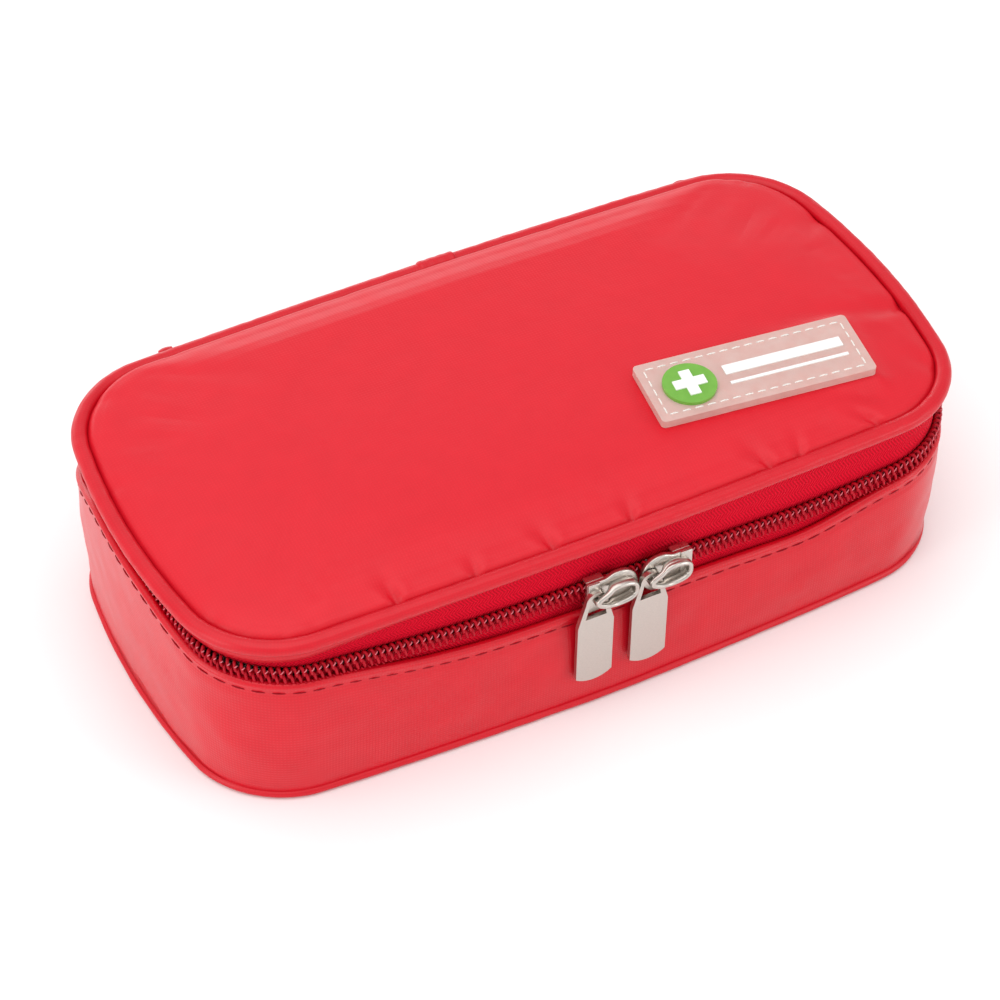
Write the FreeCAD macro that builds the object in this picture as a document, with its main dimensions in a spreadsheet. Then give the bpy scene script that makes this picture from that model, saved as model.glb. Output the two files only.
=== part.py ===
import FreeCAD, Part
import math
import os
import Sketcher

# Zip-up first aid pouch: a padded lid hinged on a soft base, closed by a coil zip with two sliders.
# Frame: +X along the length, -Y to the front with the zip pulls, +Z up, origin at the underside's centre.
# Every layer follows one outline of eight tangent arcs, moved in or out by the layer's own outset.

doc = FreeCAD.newDocument("first_aid_pouch")
sheet = doc.addObject("Spreadsheet::Sheet", "Sheet")

SIZES = {
    # outline of the piping's centre line
    "half_length": 88.2,
    "half_depth": 44.6,
    "long_side_radius": 1670.0,
    "short_side_radius": 153.0,
    "corner_radius": 21.0,
    # heights above the surface that the pouch stands on
    "hem_height": 26.5,
    "zip_above_hem": 5.1,
    "piping_above_zip": 12.7,
    # base shell
    "wall_outset": 0.8,
    "fabric_thickness": 0.8,
    "layer_gap": 0.1,
    "panel_thickness": 0.9,
    "board_thickness": 1.0,
    "board_clearance": 0.2,
    "floor_foam_thickness": 1.9,
    "wall_foam_thickness": 2.5,
    "lining_thickness": 0.5,
    "hem_fold_height": 8.0,
    "foam_below_hem": 0.5,
    "binding_radius": 1.1,
    "stitch_width": 0.35,
    "stitch_proud": 0.25,
    "stitch_below_hem": 2.5,
    # zip
    "tape_thickness": 0.6,
    "tape_inset": 1.0,
    "tape_below_hem": 9.5,
    "tape_under_coil": 1.0,
    "coil_width": 2.0,
    "coil_thickness": 1.75,
    "coil_half_gap": 0.7,
    # back hinge and the ends of the zip
    "hinge_left": -57.0,
    "hinge_right": 63.0,
    "hinge_outset": 0.9,
    "hinge_below_hem": 4.5,
    "hinge_fold_gap": 1.0,
    "tab_width": 3.0,
    "tab_clearance": 0.2,
    # lid
    "piping_radius": 1.8,
    "cord_radius": 1.0,
    "cord_clearance": 0.05,
    "splice_length": 8.0,
    "splice_wall": 0.3,
    "splice_clearance": 0.03,
    "band_gap": 0.3,
    "panel_gap": 0.5,
    "seat_below_piping": 0.3,
    "crown_rise": 5.0,
    "crown_run": 27.0,
    "corner_share": 0.35,
    "corner_limit": 0.75,
    "lid_lining_gap": 0.1,
    "lid_lining_inset": 3.0,
    "lid_binding_width": 4.8,
    "lid_binding_thickness": 1.0,
    # mesh pocket under the lid
    "pocket_length": 136.0,
    "pocket_front": -31.0,
    "pocket_back": 22.0,
    "pocket_depth": 2.2,
    "mesh_thickness": 0.4,
    "pocket_binding_width": 4.0,
    # label
    "label_x": 44.6,
    "label_y": -20.5,
    "label_lift": 0.2,
    "label_turn": -6.6,
    "label_tilt": 2.7,
    "label_length": 48.0,
    "label_width": 17.0,
    "label_thickness": 1.8,
    "label_corner": 1.0,
    "label_seam_inset": 1.8,
    "disc_radius": 5.7,
    "disc_thickness": 0.8,
    "disc_x": -14.8,
    "disc_y": -0.4,
    "cross_span": 7.0,
    "cross_arm": 2.4,
    "print_thickness": 0.3,
    "bar_start": -6.5,
    "bar_end": 20.0,
    "bar_height": 2.6,
    "bar_y": 1.2,
    "underline_height": 0.7,
    "underline_y": -2.6,
    # slider
    "slider_length": 11.6,
    "slider_tail_half": 3.7,
    "slider_head_half": 4.6,
    "slider_taper_end": 1.4,
    "plate_front_clearance": 0.6,
    "plate_back_clearance": 0.5,
    "front_plate": 1.3,
    "back_plate": 1.2,
    "back_plate_half": 4.1,
    "rail_wall": 0.6,
    "rail_depth": 1.6,
    "post_length": 2.2,
    "post_inset": 0.5,
    "post_thickness": 0.8,
    "bridge_end_inset": 0.9,
    "bridge_leg": 1.2,
    "bridge_bar": 1.2,
    "bridge_opening": 1.6,
    "bridge_width": 2.0,
    "bridge_round": 1.6,
    "left_slider_x": -2.7,
    "slider_gap": 0.9,
    # pull
    "pull_thickness": 1.0,
    "eye_radius": 1.5,
    "eye_wire": 0.9,
    "eye_depth": 4.4,
    "eye_half_width": 2.4,
    "shoulder_depth": 6.3,
    "pull_half_width": 4.1,
    "pull_side_length": 21.2,
    "pull_length": 22.6,
    # contents
    "contents_clearance": 5.0,
    "contents_gap": 0.8,
    "contents_lift": 0.1,
    "large_roll_headroom": 1.5,
    "roll_end_clearance": 11.0,
    "small_roll_radius": 13.0,
    "tape_roll_radius": 18.0,
    "tape_roll_width": 25.0,
    "tape_roll_clearance": 4.0,
    "core_radius": 9.0,
    "core_wall": 1.2,
    "gauze_length": 50.0,
    "gauze_sheet": 1.5,
    "gauze_end_clearance": 3.0,
    "sachet_length": 38.0,
    "sachet_thickness": 2.2,
    "sachet_clearance": 7.0,
    "sachet_gap": 2.6,
    "stack_gap": 0.1,
    "plaster_length": 72.0,
    "plaster_width": 19.0,
    "plaster_thickness": 0.6,
    "plaster_x": -22.0,
    "tweezer_inset": 3.0,
    "tweezer_width": 8.0,
    "tweezer_blade": 0.9,
    "tweezer_opening": 3.0,
}

for row, (alias, size) in enumerate(SIZES.items(), start=1):
    sheet.set(f"A{row}", alias)
    sheet.set(f"B{row}", str(size))
    sheet.setAlias(f"B{row}", alias)
doc.recompute()

# ---- shared expressions -------------------------------------------------------------------------
# outsets are measured outward from the piping's centre line, so a minus sign points inward

WALL_OUT = "Sheet.wall_outset"
WALL_IN = "Sheet.wall_outset - Sheet.fabric_thickness"
HEM_OUT = f"{WALL_IN} - Sheet.layer_gap"
HEM_IN = f"{HEM_OUT} - Sheet.fabric_thickness"
TAPE_OUT = "-Sheet.tape_inset"
TAPE_IN = "-Sheet.tape_inset - Sheet.tape_thickness"
COIL_IN = f"{TAPE_OUT} + Sheet.layer_gap / 2"
COIL_OUT = f"{COIL_IN} + Sheet.coil_thickness"
FOAM_OUT = f"{TAPE_IN} - Sheet.layer_gap"
FOAM_IN = f"{FOAM_OUT} - Sheet.wall_foam_thickness"
LINING_OUT = f"{FOAM_IN} - Sheet.layer_gap"
LINING_IN = f"{LINING_OUT} - Sheet.lining_thickness"
HINGE_OUT = "Sheet.hinge_outset + Sheet.fabric_thickness"
ZIP_HEIGHT = "Sheet.hem_height + Sheet.zip_above_hem"
PIPING_HEIGHT = f"{ZIP_HEIGHT} + Sheet.piping_above_zip"
PANEL_SEAT = f"{PIPING_HEIGHT} - Sheet.seat_below_piping"
PANEL_INSET = "Sheet.piping_radius + Sheet.panel_gap"
LID_LINING_LOW = f"{PIPING_HEIGHT} - Sheet.piping_radius - Sheet.lid_lining_gap"
POCKET_LOW = f"{LID_LINING_LOW} - Sheet.pocket_depth"
BINDING_IN = f"{TAPE_IN} - 2 * Sheet.layer_gap"
BOARD_LOW = "Sheet.panel_thickness + Sheet.layer_gap"
FLOOR_FOAM_LOW = f"{BOARD_LOW} + Sheet.board_thickness + Sheet.layer_gap"
LINING_LOW = f"{FLOOR_FOAM_LOW} + Sheet.floor_foam_thickness + Sheet.layer_gap"
CONTENTS_LOW = f"{LINING_LOW} + Sheet.lining_thickness + Sheet.contents_lift"
COIL_LOW = f"{ZIP_HEIGHT} - Sheet.coil_half_gap - Sheet.coil_width"
COIL_HIGH = f"{ZIP_HEIGHT} + Sheet.coil_half_gap + Sheet.coil_width"
BAND_TOP = f"{PIPING_HEIGHT} - Sheet.piping_radius - Sheet.band_gap"
PLATE_FACE = f"{COIL_OUT} + Sheet.plate_front_clearance"
BRIDGE_FOOT = f"{PLATE_FACE} + Sheet.front_plate"
BRIDGE_HALF = "Sheet.slider_length / 2 - Sheet.bridge_end_inset"
LEG_X = f"{BRIDGE_HALF} - Sheet.bridge_leg / 2"
RIGHT_SLIDER_X = "(Sheet.left_slider_x + Sheet.slider_length + Sheet.slider_gap)"

# the contents fill the base from its two ends, so their places follow the lining
ROOM_X = f"Sheet.half_length + ({LINING_IN}) - Sheet.contents_clearance"
ROOM_Y = f"Sheet.half_depth + ({LINING_IN})"
LARGE_ROLL_RADIUS = f"(({POCKET_LOW}) - ({CONTENTS_LOW}) - Sheet.large_roll_headroom) / 2"
LARGE_ROLL_X = f"-({ROOM_X}) + {LARGE_ROLL_RADIUS}"
SMALL_ROLL_X = (f"{LARGE_ROLL_X} + {LARGE_ROLL_RADIUS} + Sheet.contents_gap"
                " + Sheet.small_roll_radius")
ROLL_LENGTH = f"2 * ({ROOM_Y} - Sheet.roll_end_clearance)"
TAPE_ROLL_X = f"{ROOM_X} - Sheet.tape_roll_radius"
TAPE_ROLL_Y = f"{ROOM_Y} - Sheet.tape_roll_clearance - Sheet.tape_roll_radius"
GAUZE_LEFT = f"{SMALL_ROLL_X} + Sheet.small_roll_radius + Sheet.contents_gap"
GAUZE_WIDTH = f"2 * ({ROOM_Y} - Sheet.gauze_end_clearance)"
SACHET_X = (f"{ROOM_X} + Sheet.contents_clearance - Sheet.sachet_clearance"
            " - Sheet.sachet_length / 2")
SACHET_FRONT = f"-({ROOM_Y}) + Sheet.sachet_clearance"
SACHET_BACK = f"{TAPE_ROLL_Y} - Sheet.tape_roll_radius - Sheet.sachet_gap"
SACHET_WIDTH = f"{SACHET_BACK} - ({SACHET_FRONT})"
SACHET_Y = f"({SACHET_FRONT} + {SACHET_BACK}) / 2"
GAUZE_COUNT = 5
SACHET_COUNT = 5
PLASTER_COUNT = 2

TOLERANCE = 1e-6
FAR = 150.0

sub_parts = []


def value(expression):
    """The number that an expression gives with the sheet's sizes."""
    return float(sheet.evalExpression(expression.replace("Sheet.", "")))


# ---- helpers ------------------------------------------------------------------------------------

def new_body(label):
    """A body that becomes one sub-part."""
    body = doc.addObject("PartDesign::Body", label)
    body.Label = label
    sub_parts.append(body)
    return body


def new_sketch(body, name, role="XY_Plane", height="0"):
    """A sketch on one of the body's own planes, moved along that plane's normal."""
    sketch = body.newObject("Sketcher::SketchObject", name)
    plane = [feature for feature in body.Origin.OriginFeatures if feature.Role == role][0]
    sketch.AttachmentSupport = [(plane, "")]
    sketch.MapMode = "FlatFace"
    sketch.AttachmentOffset = FreeCAD.Placement(
        FreeCAD.Vector(0, 0, value(height)), FreeCAD.Rotation())
    sketch.setExpression("AttachmentOffset.Base.z", height)
    return sketch


def bind(sketch, kind, *arguments):
    """Adds a dimension to a sketch and ties it to the expression in the last argument."""
    expression = arguments[-1]
    constraint = Sketcher.Constraint(kind, *arguments[:-1], value(expression))
    index = sketch.addConstraint(constraint)
    sketch.setExpression(f"Constraints[{index}]", expression)


def add_outline(sketch, outset="0", corner=None):
    """The pouch's outline, moved outward by outset: eight arcs, each tangent to the next."""
    corner = corner or f"Sheet.corner_radius + {outset}"
    long_radius = value(f"Sheet.long_side_radius + {outset}")
    short_radius = value(f"Sheet.short_side_radius + {outset}")
    corner_radius = value(corner)
    long_centre = value("Sheet.long_side_radius - Sheet.half_depth")
    short_centre = value("Sheet.short_side_radius - Sheet.half_length")
    # a corner's centre is where circles about the two side arcs' centres meet
    from_long = long_radius - corner_radius
    from_short = short_radius - corner_radius
    across_x = -short_centre
    across_y = -long_centre
    span = math.hypot(across_x, across_y)
    along = (from_long ** 2 - from_short ** 2 + span ** 2) / (2 * span)
    aside = math.sqrt(from_long ** 2 - along ** 2)
    corner_x = (along * across_x - aside * across_y) / span
    corner_y = long_centre + (along * across_y + aside * across_x) / span
    long_end = math.atan2(corner_y - long_centre, corner_x)
    short_end = math.atan2(corner_y, corner_x + short_centre)
    arcs = [
        (0, long_centre, long_radius, -math.pi - long_end, long_end),
        (corner_x, corner_y, corner_radius, long_end, short_end),
        (-short_centre, 0, short_radius, short_end, -short_end),
        (corner_x, -corner_y, corner_radius, -short_end, -long_end),
        (0, -long_centre, long_radius, -long_end, math.pi + long_end),
        (-corner_x, -corner_y, corner_radius, math.pi + long_end, math.pi + short_end),
        (short_centre, 0, short_radius, math.pi + short_end, math.pi - short_end),
        (-corner_x, corner_y, corner_radius, math.pi - short_end, math.pi - long_end),
    ]
    first = len(sketch.Geometry)
    for centre_x, centre_y, radius, start, end in arcs:
        circle = Part.Circle(FreeCAD.Vector(centre_x, centre_y, 0), FreeCAD.Vector(0, 0, 1), radius)
        sketch.addGeometry(Part.ArcOfCircle(circle, start, end))
    for index in range(len(arcs)):
        following = (index + 1) % len(arcs)
        sketch.addConstraint(Sketcher.Constraint("Tangent", first + index, 2, first + following, 1))
    front, right, back, left = first, first + 2, first + 4, first + 6
    for long_arc in (front, back):
        sketch.addConstraint(Sketcher.Constraint("PointOnObject", long_arc, 3, -2))
        bind(sketch, "Radius", long_arc, f"Sheet.long_side_radius + {outset}")
    for short_arc in (right, left):
        sketch.addConstraint(Sketcher.Constraint("PointOnObject", short_arc, 3, -1))
        bind(sketch, "Radius", short_arc, f"Sheet.short_side_radius + {outset}")
    for corner_arc in range(first + 1, first + 8, 2):
        bind(sketch, "Radius", corner_arc, corner)
    bind(sketch, "DistanceY", -1, 1, front, 3, "Sheet.long_side_radius - Sheet.half_depth")
    bind(sketch, "DistanceY", back, 3, -1, 1, "Sheet.long_side_radius - Sheet.half_depth")
    bind(sketch, "DistanceX", right, 3, -1, 1, "Sheet.short_side_radius - Sheet.half_length")
    bind(sketch, "DistanceX", -1, 1, left, 3, "Sheet.short_side_radius - Sheet.half_length")


def place_corner(sketch, line, end, low_x, low_y):
    """Ties one end of a line to a place given by two expressions, each side of the origin."""
    for kind, expression in (("DistanceX", low_x), ("DistanceY", low_y)):
        bind(sketch, kind, -1, 1, line, end, expression)


def add_rectangle(sketch, low_x, low_y, high_x, high_y):
    """A rectangle between two corners that are given as expressions."""
    left, front, right, back = value(low_x), value(low_y), value(high_x), value(high_y)
    corners = [(left, front), (right, front), (right, back), (left, back)]
    first = len(sketch.Geometry)
    for index, (start_x, start_y) in enumerate(corners):
        end_x, end_y = corners[(index + 1) % 4]
        sketch.addGeometry(Part.LineSegment(
            FreeCAD.Vector(start_x, start_y, 0), FreeCAD.Vector(end_x, end_y, 0)))
    for index in range(4):
        sketch.addConstraint(
            Sketcher.Constraint("Coincident", first + index, 2, first + (index + 1) % 4, 1))
    for index in (0, 2):
        sketch.addConstraint(Sketcher.Constraint("Horizontal", first + index))
        sketch.addConstraint(Sketcher.Constraint("Vertical", first + index + 1))
    place_corner(sketch, first, 1, low_x, low_y)
    place_corner(sketch, first + 2, 1, high_x, high_y)


def add_circle(sketch, centre_x, centre_y, radius):
    """A circle whose centre and radius are expressions."""
    centre = FreeCAD.Vector(value(centre_x), value(centre_y), 0)
    sketch.addGeometry(Part.Circle(centre, FreeCAD.Vector(0, 0, 1), value(radius)))
    index = len(sketch.Geometry) - 1
    place_corner(sketch, index, 3, centre_x, centre_y)
    bind(sketch, "Radius", index, radius)


def pad(body, sketch, length, midplane=False):
    """Pads a sketch by a length that is an expression."""
    feature = body.newObject("PartDesign::Pad", f"{sketch.Name}_pad")
    feature.Profile = sketch
    feature.setExpression("Length", length)
    if midplane:
        feature.SideType = "Symmetric"
    sketch.Visibility = False
    doc.recompute()
    return feature


def pocket(body, sketch, length):
    """Cuts a sketch away below its plane, and stops if nothing was removed."""
    before = body.Shape.Volume
    feature = body.newObject("PartDesign::Pocket", f"{sketch.Name}_pocket")
    feature.Profile = sketch
    feature.setExpression("Length", length)
    doc.recompute()
    if body.Shape.Volume > before - TOLERANCE:
        raise RuntimeError(f"{body.Label}: pocket removed nothing")
    return feature


def layer(label, outset, low, high, hollow_outset=None):
    """A flat layer between two heights: a plate, or a band where it has a hollow."""
    body = new_body(label)
    sketch = new_sketch(body, f"{label}_outline", height=low)
    add_outline(sketch, outset)
    if hollow_outset is not None:
        add_outline(sketch, hollow_outset)
    pad(body, sketch, f"({high}) - ({low})")
    return body


def cut_span(body, low_x, high_x):
    """Cuts a band away between two places along its back."""
    sketch = new_sketch(body, f"{body.Label}_span", height=f"{FAR}")
    add_rectangle(sketch, low_x, "0", high_x, f"{FAR}")
    pocket(body, sketch, f"2 * {FAR}")


def keep_spans(body, *spans):
    """Keeps only the stretches of a band between the given places along its back."""
    sketch = new_sketch(body, f"{body.Label}_spans", height=f"{FAR}")
    add_rectangle(sketch, f"-{FAR}", f"-{FAR}", f"{FAR}", f"{FAR}")
    for low_x, high_x in spans:
        add_rectangle(sketch, low_x, "1", high_x, f"{FAR} - 1")
    pocket(body, sketch, f"2 * {FAR}")


def outline_tube(label, outset, height, radius, bore=None):
    """A round tube that runs all the way round the outline."""
    body = new_body(label)
    spine = new_sketch(body, f"{label}_spine", height=height)
    add_outline(spine, outset)
    doc.recompute()
    for kind, size in (("AdditivePipe", radius), ("SubtractivePipe", bore)):
        if size is None:
            continue
        profile = body.newObject("Sketcher::SketchObject", f"{label}_{kind}")
        profile.AttachmentSupport = [(spine, "Edge1")]
        profile.MapMode = "NormalToEdge"
        profile.MapPathParameter = 0.0
        add_circle(profile, "0", "0", size)
        doc.recompute()
        pipe = body.newObject(f"PartDesign::{kind}", f"{label}_{kind}_pipe")
        pipe.Profile = profile
        pipe.Spine = spine
        doc.recompute()
    return body


def crown(body, name, kind, extra_inset, drop):
    """A domed loft whose side follows a quarter of an ellipse, from the seam up to the flat top."""
    steps = 5
    sketches = []
    for step in range(steps + 1):
        angle = math.radians(90 * step / steps)
        inset = f"{PANEL_INSET} + {extra_inset} + Sheet.crown_run * {1 - math.cos(angle):.6f}"
        height = f"{PANEL_SEAT} - {drop} + Sheet.crown_rise * {math.sin(angle):.6f}"
        sketch = new_sketch(body, f"{name}_{step}", height=height)
        corner = f"Sheet.corner_radius - Sheet.corner_share * ({inset})"
        widest = f"Sheet.corner_limit * (Sheet.half_depth - ({inset}))"
        add_outline(sketch, f"-({inset})", f"min({corner}; {widest})")
        sketches.append(sketch)
    doc.recompute()
    loft = body.newObject(f"PartDesign::{kind}", f"{name}_loft")
    loft.Profile = sketches[0]
    loft.Sections = sketches[1:]
    loft.Ruled = True
    doc.recompute()


def box_body(label, low_x, low_y, low_z, high_x, high_y, high_z):
    """A block between two corners that are given as expressions."""
    body = new_body(label)
    sketch = new_sketch(body, f"{label}_base", height=low_z)
    add_rectangle(sketch, low_x, low_y, high_x, high_y)
    pad(body, sketch, f"({high_z}) - ({low_z})")
    return body


def stack(label, count, x, y, low, length, width, thickness):
    """A pile of equal flat pieces with a small gap between them."""
    pieces = []
    for index in range(count):
        piece = doc.addObject("Part::Box", f"{label}_{index}")
        piece.setExpression("Length", length)
        piece.setExpression("Width", width)
        piece.setExpression("Height", thickness)
        piece.setExpression("Placement.Base.x", f"({x}) - ({length}) / 2")
        piece.setExpression("Placement.Base.y", f"({y}) - ({width}) / 2")
        piece.setExpression(
            "Placement.Base.z", f"({low}) + {index} * (({thickness}) + Sheet.stack_gap)")
        pieces.append(piece)
    group = doc.addObject("Part::Compound", label)
    group.Label = label
    group.Links = pieces
    sub_parts.append(group)


# ---- base ---------------------------------------------------------------------------------------

def build_base_shell():
    """Bottom panel, stiffener, padding, wall and lining of the base."""
    layer("base_bottom_panel", WALL_OUT, "0", "Sheet.panel_thickness")
    layer("base_stiffener_board", f"{WALL_IN} - Sheet.board_clearance", BOARD_LOW,
          f"{BOARD_LOW} + Sheet.board_thickness")
    layer("base_floor_foam", f"{WALL_IN} - Sheet.board_clearance", FLOOR_FOAM_LOW,
          f"{FLOOR_FOAM_LOW} + Sheet.floor_foam_thickness")
    layer("base_side_wall", WALL_OUT, BOARD_LOW, "Sheet.hem_height", WALL_IN)
    layer("base_wall_hem", HEM_OUT, "Sheet.hem_height - Sheet.hem_fold_height",
          "Sheet.hem_height", HEM_IN)
    layer("base_wall_foam", FOAM_OUT, LINING_LOW,
          "Sheet.hem_height - Sheet.foam_below_hem", FOAM_IN)
    lining = layer("base_lining", LINING_OUT, LINING_LOW, "Sheet.hem_height")
    hollow = new_sketch(lining, "base_lining_hollow", height="Sheet.hem_height")
    add_outline(hollow, LINING_IN)
    pocket(lining, hollow, f"Sheet.hem_height - ({LINING_LOW}) - Sheet.lining_thickness")
    binding = outline_tube("base_bottom_binding", WALL_OUT, "Sheet.binding_radius",
                           "Sheet.binding_radius")
    seat = new_sketch(binding, "base_bottom_binding_seat", height=f"{FAR}")
    add_outline(seat, f"{WALL_OUT} + Sheet.layer_gap / 2")
    pocket(binding, seat, f"2 * {FAR}")
    stitch_height = "Sheet.hem_height - Sheet.stitch_below_hem"
    stitching = layer("base_topstitch", f"{WALL_OUT} + Sheet.stitch_proud", stitch_height,
                      f"{stitch_height} + Sheet.stitch_width", WALL_OUT)
    cut_span(stitching, "Sheet.hinge_left - Sheet.tab_width - 2 * Sheet.tab_clearance",
             "Sheet.hinge_right + Sheet.tab_width + 2 * Sheet.tab_clearance")


def build_zip_band(prefix, tape_low, tape_high, coil_low):
    """One side of the zip: woven tape with a row of coil teeth on its outer face."""
    tape = layer(f"{prefix}_zip_tape", TAPE_OUT, tape_low, tape_high, TAPE_IN)
    cut_span(tape, "Sheet.hinge_left", "Sheet.hinge_right")
    coil = layer(f"{prefix}_zip_coil", COIL_OUT, coil_low, f"({coil_low}) + Sheet.coil_width",
                 COIL_IN)
    cut_span(coil, "Sheet.hinge_left", "Sheet.hinge_right")


def build_hinge_band(name, low, high):
    """One half of the fabric hinge at the back, and the folded tabs over the zip's two ends."""
    panel = layer(f"hinge_panel_{name}", HINGE_OUT, low, high, "Sheet.hinge_outset")
    keep_spans(panel, ("Sheet.hinge_left", "Sheet.hinge_right"))
    tabs = layer(f"zip_end_tabs_{name}", HINGE_OUT, low, high, "Sheet.hinge_outset")
    keep_spans(
        tabs,
        ("Sheet.hinge_left - Sheet.tab_clearance - Sheet.tab_width",
         "Sheet.hinge_left - Sheet.tab_clearance"),
        ("Sheet.hinge_right + Sheet.tab_clearance",
         "Sheet.hinge_right + Sheet.tab_clearance + Sheet.tab_width"))


# ---- lid ----------------------------------------------------------------------------------------

def build_lid_shell():
    """Domed top panel over foam, edged by piping, with a flat lining below."""
    panel = new_body("lid_top_panel")
    crown(panel, "panel_outside", "AdditiveLoft", "0", "0")
    crown(panel, "panel_inside", "SubtractiveLoft", "Sheet.fabric_thickness",
          "Sheet.fabric_thickness")
    foam = new_body("lid_foam")
    crown(foam, "foam", "AdditiveLoft", "(Sheet.fabric_thickness + Sheet.layer_gap)",
          "(Sheet.fabric_thickness + Sheet.layer_gap)")
    layer("lid_lining", "-Sheet.lid_lining_inset", LID_LINING_LOW,
          f"{LID_LINING_LOW} + Sheet.lining_thickness")
    binding_top = f"{LID_LINING_LOW} - Sheet.layer_gap"
    layer("lid_seam_binding", BINDING_IN, f"{binding_top} - Sheet.lid_binding_width", binding_top,
          f"{BINDING_IN} - Sheet.lid_binding_thickness")
    outline_tube("lid_piping_cover", "0", PIPING_HEIGHT, "Sheet.piping_radius",
                 "Sheet.cord_radius + Sheet.cord_clearance")
    outline_tube("lid_piping_cord", "0", PIPING_HEIGHT, "Sheet.cord_radius")
    splice = new_body("lid_piping_splice")
    section = new_sketch(splice, "lid_piping_splice_section", "YZ_Plane")
    bore = "Sheet.piping_radius + Sheet.splice_clearance"
    for radius in (bore, f"{bore} + Sheet.splice_wall"):
        add_circle(section, "Sheet.half_depth", PIPING_HEIGHT, radius)
    pad(splice, section, "Sheet.splice_length")


def build_lid_pocket():
    """Mesh pocket sewn under the lid on three sides, with a bound edge at its open side."""
    half = "Sheet.pocket_length / 2"
    mesh = box_body("lid_mesh_pocket", f"-{half}", "Sheet.pocket_front", POCKET_LOW,
                    half, "Sheet.pocket_back", LID_LINING_LOW)
    inside = new_sketch(mesh, "lid_mesh_pocket_inside", height=LID_LINING_LOW)
    add_rectangle(inside, f"-{half} + Sheet.mesh_thickness",
                  "Sheet.pocket_front + Sheet.mesh_thickness",
                  f"{half} - Sheet.mesh_thickness", "Sheet.pocket_back + 1")
    pocket(mesh, inside, "Sheet.pocket_depth - Sheet.mesh_thickness")
    box_body("lid_pocket_binding", f"-{half}",
             "Sheet.pocket_back + Sheet.layer_gap", POCKET_LOW,
             half, "Sheet.pocket_back + Sheet.layer_gap + Sheet.pocket_binding_width",
             f"{POCKET_LOW} + 2 * Sheet.mesh_thickness")
    stack("plaster_strips", PLASTER_COUNT, "Sheet.plaster_x",
          "(Sheet.pocket_front + Sheet.pocket_back) / 2",
          f"{POCKET_LOW} + Sheet.mesh_thickness + Sheet.stack_gap", "Sheet.plaster_length",
          "Sheet.plaster_width", "Sheet.plaster_thickness")


def place_on_label(body):
    """Moves a piece made flat at the origin to the label's place on the lid."""
    turn = FreeCAD.Rotation(FreeCAD.Vector(0, 0, 1), value("Sheet.label_turn"))
    tilt = FreeCAD.Rotation(FreeCAD.Vector(1, 0, 0), value("Sheet.label_tilt"))
    body.Placement = FreeCAD.Placement(FreeCAD.Vector(0, 0, 0), turn.multiply(tilt))
    body.setExpression("Placement.Base.x", "Sheet.label_x")
    body.setExpression("Placement.Base.y", "Sheet.label_y")
    body.setExpression("Placement.Base.z", f"{PANEL_SEAT} + Sheet.crown_rise + Sheet.label_lift")


def build_label():
    """Clear plate sewn to the lid, with a raised green disc, a white cross and plain white bars."""
    half_length = "Sheet.label_length / 2"
    half_width = "Sheet.label_width / 2"
    plate = box_body("label_plate", f"-{half_length}", f"-{half_width}", "0",
                     half_length, half_width, "Sheet.label_thickness")
    block = plate.Tip
    upright = [
        f"Edge{index}" for index, edge in enumerate(block.Shape.Edges, start=1)
        if abs(edge.tangentAt(edge.FirstParameter).z) > 1 - TOLERANCE
    ]
    rounding = plate.newObject("PartDesign::Fillet", "label_plate_rounding")
    rounding.Base = (block, upright)
    rounding.setExpression("Radius", "Sheet.label_corner")
    doc.recompute()

    disc = new_body("label_disc")
    round_face = new_sketch(disc, "label_disc_face", height="Sheet.label_thickness")
    add_circle(round_face, "Sheet.disc_x", "Sheet.disc_y", "Sheet.disc_radius")
    pad(disc, round_face, "Sheet.disc_thickness")

    cross = new_body("label_cross")
    arms = [("Sheet.cross_span / 2", "Sheet.cross_arm / 2"),
            ("Sheet.cross_arm / 2", "Sheet.cross_span / 2")]
    for index, (reach_x, reach_y) in enumerate(arms):
        face = new_sketch(cross, f"label_cross_arm_{index}",
                          height="Sheet.label_thickness + Sheet.disc_thickness")
        add_rectangle(face, f"Sheet.disc_x - {reach_x}", f"Sheet.disc_y - {reach_y}",
                      f"Sheet.disc_x + {reach_x}", f"Sheet.disc_y + {reach_y}")
        pad(cross, face, "Sheet.print_thickness")

    bars = []
    for name, centre, size in (("upper", "Sheet.bar_y", "Sheet.bar_height"),
                               ("lower", "Sheet.underline_y", "Sheet.underline_height")):
        bar = doc.addObject("Part::Box", f"label_bar_{name}")
        bar.setExpression("Length", "Sheet.bar_end - Sheet.bar_start")
        bar.setExpression("Width", size)
        bar.setExpression("Height", "Sheet.print_thickness")
        bar.setExpression("Placement.Base.x", "Sheet.bar_start")
        bar.setExpression("Placement.Base.y", f"{centre} - {size} / 2")
        bar.setExpression("Placement.Base.z", "Sheet.label_thickness")
        bars.append(bar)
    bar_group = doc.addObject("Part::Compound", "label_bars")
    bar_group.Label = "label_bars"
    bar_group.Links = bars
    sub_parts.append(bar_group)

    seam = new_body("label_stitching")
    line = new_sketch(seam, "label_stitching_line", height="Sheet.label_thickness")
    for inset in ("Sheet.label_seam_inset", "(Sheet.label_seam_inset + Sheet.stitch_width)"):
        add_rectangle(line, f"-{half_length} + {inset}", f"-{half_width} + {inset}",
                      f"{half_length} - {inset}", f"{half_width} - {inset}")
    pad(seam, line, "Sheet.stitch_proud")

    for piece in (plate, disc, cross, bar_group, seam):
        place_on_label(piece)


# ---- sliders and pulls --------------------------------------------------------------------------

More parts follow.
